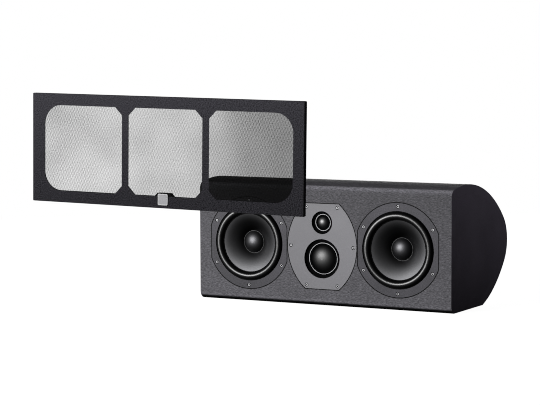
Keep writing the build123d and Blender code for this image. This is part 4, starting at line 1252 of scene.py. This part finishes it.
class GeometryTree(Tree):
    """Geometry nodes that work on points, with named inputs."""

    def __init__(self, name: str, sizes: dict[str, float]) -> None:
        """Make the tree with its sockets.

        Args:
            name: Name of the tree.
            sizes: Value of each named input.
        """
        super().__init__(bpy.data.node_groups.new(name, "GeometryNodeTree"))
        self.sizes = sizes
        self.keys = {}
        face = self.tree.interface
        face.new_socket("Geometry", in_out="INPUT", socket_type="NodeSocketGeometry")
        for key, kind in [*((size, "Float") for size in sizes), ("Material", "Material")]:
            made = face.new_socket(key, in_out="INPUT", socket_type="NodeSocket" + kind)
            self.keys[key] = made.identifier
        face.new_socket("Geometry", in_out="OUTPUT", socket_type="NodeSocketGeometry")
        self.given = self.node("NodeGroupInput")
        self.result = self.node("NodeGroupOutput")

    def size(self, name: str) -> Value:
        """One of the tree's named sizes."""
        return Value(self, self.given.outputs[name])

    def shape(self, kind: str, settings: dict | None = None, inputs: dict | None = None) -> Socket:
        """First output of a new node, which is made as node makes it."""
        return self.node(kind, settings, inputs).outputs[0]

    def upright(self, length: Value | Socket) -> Socket:
        """Vector of a length along Z."""
        return self.shape("ShaderNodeCombineXYZ", None, {2: length})

    def drum(self, sides: int, radius: Value, height: Value) -> Socket:
        """Closed cylinder about Z, with its middle at nought."""
        return self.shape("GeometryNodeMeshCylinder", {"fill_type": "NGON"},
                          {"Vertices": sides, "Radius": radius, "Depth": height})

    def lifted(self, shape: Socket, height: Value) -> Socket:
        """A shape moved along Z."""
        return self.shape("GeometryNodeTransform", None,
                          {"Geometry": shape, "Translation": self.upright(height)})

    def marked(self, shape: Socket, mark: str, value: float) -> Socket:
        """A shape whose faces carry a named value."""
        return self.shape("GeometryNodeStoreNamedAttribute", {"data_type": "FLOAT", "domain": "FACE"},
                          {"Geometry": shape, "Name": mark, "Value": value})

    def finish(self, shape: Socket) -> None:
        """Make instances real, set the material and end the tree.

        Args:
            shape: What the tree has made.
        """
        real = self.shape("GeometryNodeRealizeInstances", None, {0: shape})
        done = self.shape("GeometryNodeSetMaterial", None,
                          {"Geometry": real, "Material": self.given.outputs["Material"]})
        self.tree.links.new(done, self.result.inputs[0])

    def apply(self, points: Sequence[Point], finish: Finish, name: str) -> bpy.types.Object:
        """Run the tree on points and keep its result as a plain mesh.

        Args:
            points: Places in the row frame.
            finish: Finish that the tree sets.
            name: Name of the piece.

        Returns:
            The piece, with no modifier left on it.
        """
        seed_mesh = bpy.data.meshes.new(name + "_places")
        seed_mesh.from_pydata(points, [], [])
        seed = bpy.data.objects.new(name + "_places", seed_mesh)
        bpy.context.scene.collection.objects.link(seed)
        modifier = seed.modifiers.new("places", "NODES")
        modifier.node_group = self.tree
        for size, value in self.sizes.items():
            modifier[self.keys[size]] = value
        modifier[self.keys["Material"]] = material_of(finish)
        graph = bpy.context.evaluated_depsgraph_get()
        mesh = bpy.data.meshes.new_from_object(seed.evaluated_get(graph))
        bpy.data.objects.remove(seed)
        return as_object(name, mesh, [finish], sharp=30.0)


@dataclass
class Screws(Assembly):
    """Socket screws, made once and set at each of their places."""

    head_diameter: float = 0.0062
    head_height: float = 0.0026
    chamfer: float = 0.0006
    socket_width: float = 0.0027
    socket_depth: float = 0.0016
    shank_diameter: float = 0.0036
    shank_length: float = 0.0150
    head_sides: int = 28
    socket_sides: int = 6
    shank_sides: int = 14
    # Share of painted shade on the head's chamfer.
    chamfer_dark: float = 0.9
    sunk: float = 0.0004
    woofer_circle: float = 0.083
    plate_corner: Pair = (0.0332, 0.0757)
    plate_side: float = 0.0672

    def tree(self, name: str, facing: Facing, seed: int) -> GeometryTree:
        """Tree that turns points into screws.

        Args:
            name: Name of the tree.
            facing: Way that the heads point.
            seed: Seed of the spin that each socket was left at.

        Returns:
            The tree, ready to run.
        """
        tree = GeometryTree(name, {
            "Head Diameter": self.head_diameter,
            "Head Height": self.head_height,
            "Chamfer": self.chamfer,
            "Socket Width": self.socket_width,
            "Socket Depth": self.socket_depth,
            "Shank Diameter": self.shank_diameter,
            "Shank Length": self.shank_length,
        })
        radius = tree.size("Head Diameter") * 0.5
        height = tree.size("Head Height")
        chamfer = tree.size("Chamfer")
        length = tree.size("Shank Length")
        crown = radius - chamfer
        drum = tree.lifted(tree.drum(self.head_sides, radius, height), height * -0.5)
        taper = tree.shape("GeometryNodeMeshCone", {"fill_type": "NGON"}, {
            "Vertices": self.head_sides, "Radius Top": crown - chamfer,
            "Radius Bottom": crown + height, "Depth": height + chamfer})
        # The chamfer's faces carry the mark of painted shade.
        taper = tree.marked(tree.lifted(taper, height * -1.0), SCREW.mark, self.chamfer_dark)
        head = tree.shape("GeometryNodeMeshBoolean", {"operation": "INTERSECT"}, {1: [drum, taper]})
        point_radius = tree.size("Socket Width") * (0.5 / math.cos(math.pi / self.socket_sides))
        key = tree.drum(self.socket_sides, point_radius, tree.size("Socket Depth") * 2.0)
        # The socket's faces carry the mark of full painted shade.
        key = tree.marked(key, SCREW.mark, 1.0)
        head = tree.shape("GeometryNodeMeshBoolean", {"operation": "DIFFERENCE"}, {0: head, 1: key})
        shank = tree.drum(self.shank_sides, tree.size("Shank Diameter") * 0.5, length)
        shank = tree.lifted(shank, length * -0.5 - height)
        screw = tree.shape("GeometryNodeJoinGeometry", None, {0: [head, shank]})
        placed = tree.shape("GeometryNodeInstanceOnPoints", None, {
            "Points": tree.given.outputs["Geometry"], "Instance": screw,
            "Rotation": (facing.value, 0.0, 0.0)})
        spin = tree.node("FunctionNodeRandomValue", {"data_type": "FLOAT"},
                         {2: 0.0, 3: 2 * math.pi / self.socket_sides, "Seed": seed}).outputs[1]
        tree.finish(tree.shape("GeometryNodeRotateInstances", None, {
            "Instances": placed, "Rotation": tree.upright(spin)}))
        return tree

    def build(self) -> None:
        """Set the screws of the woofers, of the plate and of the terminals."""
        front = FRONT_Y + self.sunk
        circle = [math.radians(90 + 60 * step) for step in range(6)]
        woofers = [(side.value * WOOFER_X + self.woofer_circle * math.cos(angle), front,
                    DRIVER_Z + self.woofer_circle * math.sin(angle))
                   for side in Side for angle in circle]
        wide, tall = self.plate_corner
        plate = [(sx * wide, front, DRIVER_Z + sz * tall) for sx in (-1, 1) for sz in (-1, 1)]
        plate += [(sx * self.plate_side, front, DRIVER_Z) for sx in (-1, 1)]
        low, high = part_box("terminal_screws")
        head = self.head_diameter / 2
        terminals = [(x, high.y, z) for x in (low.x + head, high.x - head)
                     for z in (low.z + head, high.z - head)]
        for name, node, places, facing, seed in (
                ("woofer_socket_screws", "woofer_screws", woofers, Facing.FRONT, 3),
                ("plate_socket_screws", "plate_screws", plate, Facing.FRONT, 5),
                ("terminal_socket_screws", "terminal_screws", terminals, Facing.BACK, 7)):
            tree = self.tree(name, facing, seed)
            self.add(tree.apply(places, SCREW, name), "cabinet", [node])


@dataclass
class Crossover(Assembly):
    """The parts inside the box that share the signal out."""

    def build(self) -> None:
        """Dress the board and what is on it."""
        self.dress({
            CIRCUIT: ["crossover_board"],
            PLASTIC: ["board_standoffs"],
            COPPER: ["inductors"],
            FILM: ["capacitors"],
            CERAMIC: ["resistors"],
            SLEEVE: ["hookup_wires"],
        })


@dataclass
class Terminals(Assembly):
    """The cup on the back with its posts and knobs."""

    def build(self) -> None:
        """Dress the cup, posts, nuts and knobs."""
        self.dress({
            PLASTIC: ["terminal_cup"],
            GOLD: ["binding_posts", "terminal_nuts"],
            RED_KNOB: ["red_knob"],
            BLACK_KNOB: ["black_knob"],
        })


@dataclass
class Grille(Assembly):
    """The grille that stands off the cabinet: board, cloth, badge and magnets.

    Each level of the badge, from its back, is an inset from its edge, a share of its thickness
    and the slot of the finish below it.
    """

    width: float = 0.538
    height: float = 0.190
    thickness: float = 0.009
    corner: float = 0.0015
    turn: float = math.radians(0.87)
    cloth_stand: float = 0.0003
    cloth_bend: float = 0.0012
    cloth_border: float = 0.002
    cloth_corner: float = 0.0004
    cloth_corner_points: int = 6
    cloth_bend_points: int = 5
    fold: float = 0.010
    badge_size: float = 0.021
    badge_corner: float = 0.003
    badge_least_corner: float = 0.0006
    badge_corner_points: int = 7
    badge_drop: float = 0.080
    badge_levels: tuple[tuple[float, float, int], ...] = (
        (0.0, 0.0, 0), (0.0, 0.7, 0), (0.0008, 1.0, 0), (0.0024, 1.0, 1),
        (0.0026, 0.85, 1), (0.0029, 0.85, 1), (0.0031, 1.0, 2), (0.0034, 1.0, 2))

    def place(self, u: float, v: float, w: float) -> Vector:
        """Point of the grille in the row frame.

        Args:
            u: Distance to the right of its middle.
            v: Distance above its middle.
            w: Depth behind the front of its board.

        Returns:
            The point.
        """
        low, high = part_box("grille_cloth")
        middle = (low + high) / 2
        return Vector((middle.x + u * math.cos(self.turn) + v * math.sin(self.turn),
                       high.y + w,
                       middle.z - u * math.sin(self.turn) + v * math.cos(self.turn)))

    def cloth_outline(self, grow: float) -> list[tuple[Pair, Pair]]:
        """Outline of the cloth where it stands out so far from the board's edge."""
        corner = max(self.cloth_corner, self.corner + grow)
        return rounded(self.width / 2 + grow, self.height / 2 + grow, corner, self.cloth_corner_points)

    def cloth_rows(self) -> list[Pair]:
        """Rows of the cloth from its front, over both edges of the board and onto its back.

        Returns:
            How far each row stands out from the board's edge, and its depth.
        """
        count = self.cloth_bend_points
        angles = [math.radians(90 * step / (count - 1)) for step in range(count)]
        out = self.cloth_stand
        back = self.thickness + self.cloth_stand
        rows = [(-self.cloth_border, -out)]
        for angle in angles:
            rows.append((out - self.cloth_bend * (1 - math.sin(angle)),
                         -out + self.cloth_bend * (1 - math.cos(angle))))
        for angle in angles:
            rows.append((out - self.cloth_bend * (1 - math.cos(angle)),
                         back - self.cloth_bend * (1 - math.sin(angle))))
        rows.append((-self.fold, back))
        return rows

    def cloth_mesh(self) -> tuple[bpy.types.Mesh, float]:
        """Cloth over the front, round the edges and onto the back of the board.

        Returns:
            The mesh with its layout, and how far the cloth reaches past the front.
        """
        rows = self.cloth_rows()
        flat_outline = self.cloth_outline(rows[0][0])
        work = bmesh.new()
        layout = work.loops.layers.uv.new(GRILLE_CLOTH.layout)
        rings = []
        reach = 0.0
        before = rows[0]
        for row in rows:
            reach += math.dist(row, before)
            before = row
            ring = []
            for ((u, v), _), ((flat_u, flat_v), out) in zip(self.cloth_outline(row[0]), flat_outline):
                vertex = work.verts.new(self.place(u, v, row[1]))
                ring.append((vertex, (flat_u + out[0] * reach, flat_v + out[1] * reach)))
            rings.append(ring)
        faces = [rings[0]]
        for inner, outer in zip(rings, rings[1:]):
            for i in range(len(inner)):
                j = (i + 1) % len(inner)
                faces.append([inner[i], outer[i], outer[j], inner[j]])
        for points in faces:
            face = work.faces.new([vertex for vertex, _ in points])
            for loop, (_, flat) in zip(face.loops, points):
                loop[layout].uv = flat
        return mesh_from(work, "cloth", merge=False), reach - self.cloth_border

    def badge_mesh(self) -> bpy.types.Mesh:
        """Blank badge: a dark-edged pale tablet with a groove round its plain face.

        Returns:
            The mesh, with the slot of each face's finish.
        """
        low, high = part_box("grille_badge")
        thick = high.y - low.y
        back = self.place(0.0, 0.0, 0.0).y - high.y
        work = bmesh.new()
        rings = []
        for inset, rise, _ in self.badge_levels:
            half = self.badge_size / 2 - inset
            corner = max(self.badge_least_corner, self.badge_corner - inset)
            rings.append([work.verts.new(self.place(u, v - self.badge_drop, -back - thick * rise))
                          for (u, v), _ in rounded(half, half, corner, self.badge_corner_points)])
        work.faces.new(rings[0])
        for inner, outer, (_, _, slot) in zip(rings, rings[1:], self.badge_levels[1:]):
            for i in range(len(inner)):
                j = (i + 1) % len(inner)
                work.faces.new((inner[i], inner[j], outer[j], outer[i])).material_index = slot
        work.faces.new(rings[-1]).material_index = self.badge_levels[-1][2]
        return mesh_from(work, "badge")

    def build(self) -> None:
        """Dress the board and magnets, and make the cloth and the badge."""
        self.dress({GRILLE_BOARD: ["grille_frame"], MAGNET_DISC: ["grille_magnets"]})
        mesh, reach = self.cloth_mesh()
        cloth = as_object("grille_cloth_sheet", mesh, [GRILLE_CLOTH])
        self.add(cloth, "cabinet", ["grille_cloth"])
        badge = as_object("blank_badge", self.badge_mesh(), [BADGE_EDGE, BADGE_RIM, BADGE_FACE],
                          sharp=25.0)
        self.add(badge, "cabinet", ["grille_badge"])


# Stage
@dataclass(frozen=True)
class Lamp:
    """Soft rectangular lamp, with its size in metres and its power in watts."""

    name: str
    place: Point
    aim: Point
    size: Pair
    power: float

    def build(self) -> bpy.types.Object:
        """Put the lamp in the scene, out of the camera's sight.

        Returns:
            The lamp's object.
        """
        data = bpy.data.lights.new(self.name, "AREA")
        data.shape = "RECTANGLE"
        data.size, data.size_y = self.size
        data.energy = self.power
        lamp = bpy.data.objects.new(self.name, data)
        turn = (Vector(self.aim) - Vector(self.place)).to_track_quat("-Z", "Y")
        lamp.matrix_world = Matrix.Translation(self.place) @ turn.to_matrix().to_4x4()
        lamp.visible_camera = False
        bpy.context.scene.collection.objects.link(lamp)
        LOG.info("lamp %s", self.name)
        return lamp


@dataclass
class Studio:
    """Floor, background, lamps and camera."""

    frame: dict
    eye: Point = (1.7912, -3.6197, 0.5282)
    yaw: float = 0.494043
    pitch: float = 0.082468
    roll: float = -0.003310
    focal_pixels: float = 2069.42
    sensor: float = 36.0
    floor_radius: float = 2.0
    floor_drop: float = 0.0004
    backdrop: float = 8.0
    ambient: float = 0.03
    key: Lamp = Lamp("key", (-2.0, -3.42, 0.68), (0.0, -0.08, 0.12), (2.1, 1.7), 130.0)
    end: Lamp = Lamp("end", (2.2, 0.6, 1.9), (0.27, 0.05, 0.15), (1.2, 1.2), 14.0)
    back: Lamp = Lamp("back", (-1.3, 2.5, 0.45), (0.0, 0.0, 0.20), (2.4, 0.5), 18.0)

    def camera(self) -> None:
        """Camera at the picture's place, with its lens worked out for the picture's width.

        The three turns are those of a camera that looks along Y and is upright at nought.
        """
        right = Vector((math.cos(self.yaw), math.sin(self.yaw), 0.0))
        ahead = Vector((-math.sin(self.yaw), math.cos(self.yaw), 0.0))
        down = Vector((0.0, 0.0, -1.0))
        forward = math.cos(self.pitch) * ahead + math.sin(self.pitch) * down
        lower = math.cos(self.pitch) * down - math.sin(self.pitch) * ahead
        rolled_right = math.cos(self.roll) * right - math.sin(self.roll) * lower
        rolled_down = math.sin(self.roll) * right + math.cos(self.roll) * lower
        turn = Matrix((rolled_right, -rolled_down, -forward)).transposed()
        data = bpy.data.cameras.new("camera")
        data.sensor_fit = "HORIZONTAL"
        data.sensor_width = self.sensor
        data.lens = self.focal_pixels * self.sensor / PICTURE_WIDTH
        camera = bpy.data.objects.new("camera", data)
        camera.matrix_world = Matrix.Translation(self.eye) @ turn.to_4x4()
        bpy.context.scene.collection.objects.link(camera)
        bpy.context.scene.camera = camera

    def floor(self) -> None:
        """Round pale floor just under the cabinet."""
        work = bmesh.new()
        bmesh.ops.create_circle(work, cap_ends=True, segments=96, radius=self.floor_radius)
        mesh = mesh_from(work, "floor")
        mesh.transform(Matrix.Translation((0.0, 0.0, -self.floor_drop)))
        mesh.materials.append(material_of(FLOOR))
        floor = bpy.data.objects.new("floor", mesh)
        bpy.context.scene.collection.objects.link(floor)

    def world(self) -> None:
        """White background for the eye, and a dim room for everything else."""
        world = bpy.data.worlds.new("studio")
        world.use_nodes = True
        bpy.context.scene.world = world
        shader = Shader(world.node_tree)
        seen = shader.node("ShaderNodeLightPath").outputs["Is Camera Ray"]
        room, white = [shader.node("ShaderNodeBackground", None, {"Color": grey(1.0), "Strength": strength})
                       for strength in (self.ambient, self.backdrop)]
        mixed = shader.node("ShaderNodeMixShader", None,
                            {0: seen, 1: room.outputs[0], 2: white.outputs[0]})
        shader.node("ShaderNodeOutputWorld", None, {"Surface": mixed.outputs[0]})

    def spare_grille(self, lamp: bpy.types.Object) -> None:
        """Keep the hanging grille's shadow off the cabinet, as in a picture of two exposures.

        Args:
            lamp: Lamp that the grille doesn't block.
        """
        held = bpy.data.collections.new("no_shadow_" + lamp.name)
        for piece in bpy.context.scene.objects:
            if piece.type == "MESH" and ("grille" in piece.name or "badge" in piece.name):
                held.objects.link(piece)
        for entry in held.collection_objects:
            entry.light_linking.link_state = "EXCLUDE"
        lamp.light_linking.blocker_collection = held

    def keep_to(self, lamp: bpy.types.Object, nodes: Sequence[str]) -> None:
        """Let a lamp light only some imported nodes.

        Args:
            lamp: The lamp.
            nodes: Names of the nodes.
        """
        lit = bpy.data.collections.new("lit_by_" + lamp.name)
        for node in nodes:
            lit.objects.link(self.frame["nodes"][node])
        lamp.light_linking.receiver_collection = lit

    def build(self) -> None:
        """Set up the floor, world, lamps, camera and plain colour handling."""
        self.floor()
        self.world()
        self.spare_grille(self.key.build())
        self.keep_to(self.end.build(), ["right_end_panel", "left_end_panel", "cabinet_shell",
                                        "front_baffle", "bottom_panel"])
        self.back.build()
        self.camera()
        scene = bpy.context.scene
        scene.view_settings.view_transform = "Standard"
        scene.view_settings.look = "None"
        scene.cycles.sample_clamp_direct = 1.0
        scene.cycles.filter_width = 1.0


def main() -> None:
    """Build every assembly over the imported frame, then the studio."""
    logging.basicConfig(level=logging.INFO, format="%(name)s: %(message)s")
    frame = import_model()
    parts: list[Assembly] = [Cabinet(frame)]
    parts += [Woofer(frame, side) for side in Side]
    parts += [Domes(frame), Screws(frame), Crossover(frame), Terminals(frame), Grille(frame)]
    for part in parts:
        part.build()
    Studio(frame).build()


if __name__ == "__main__":
    main()
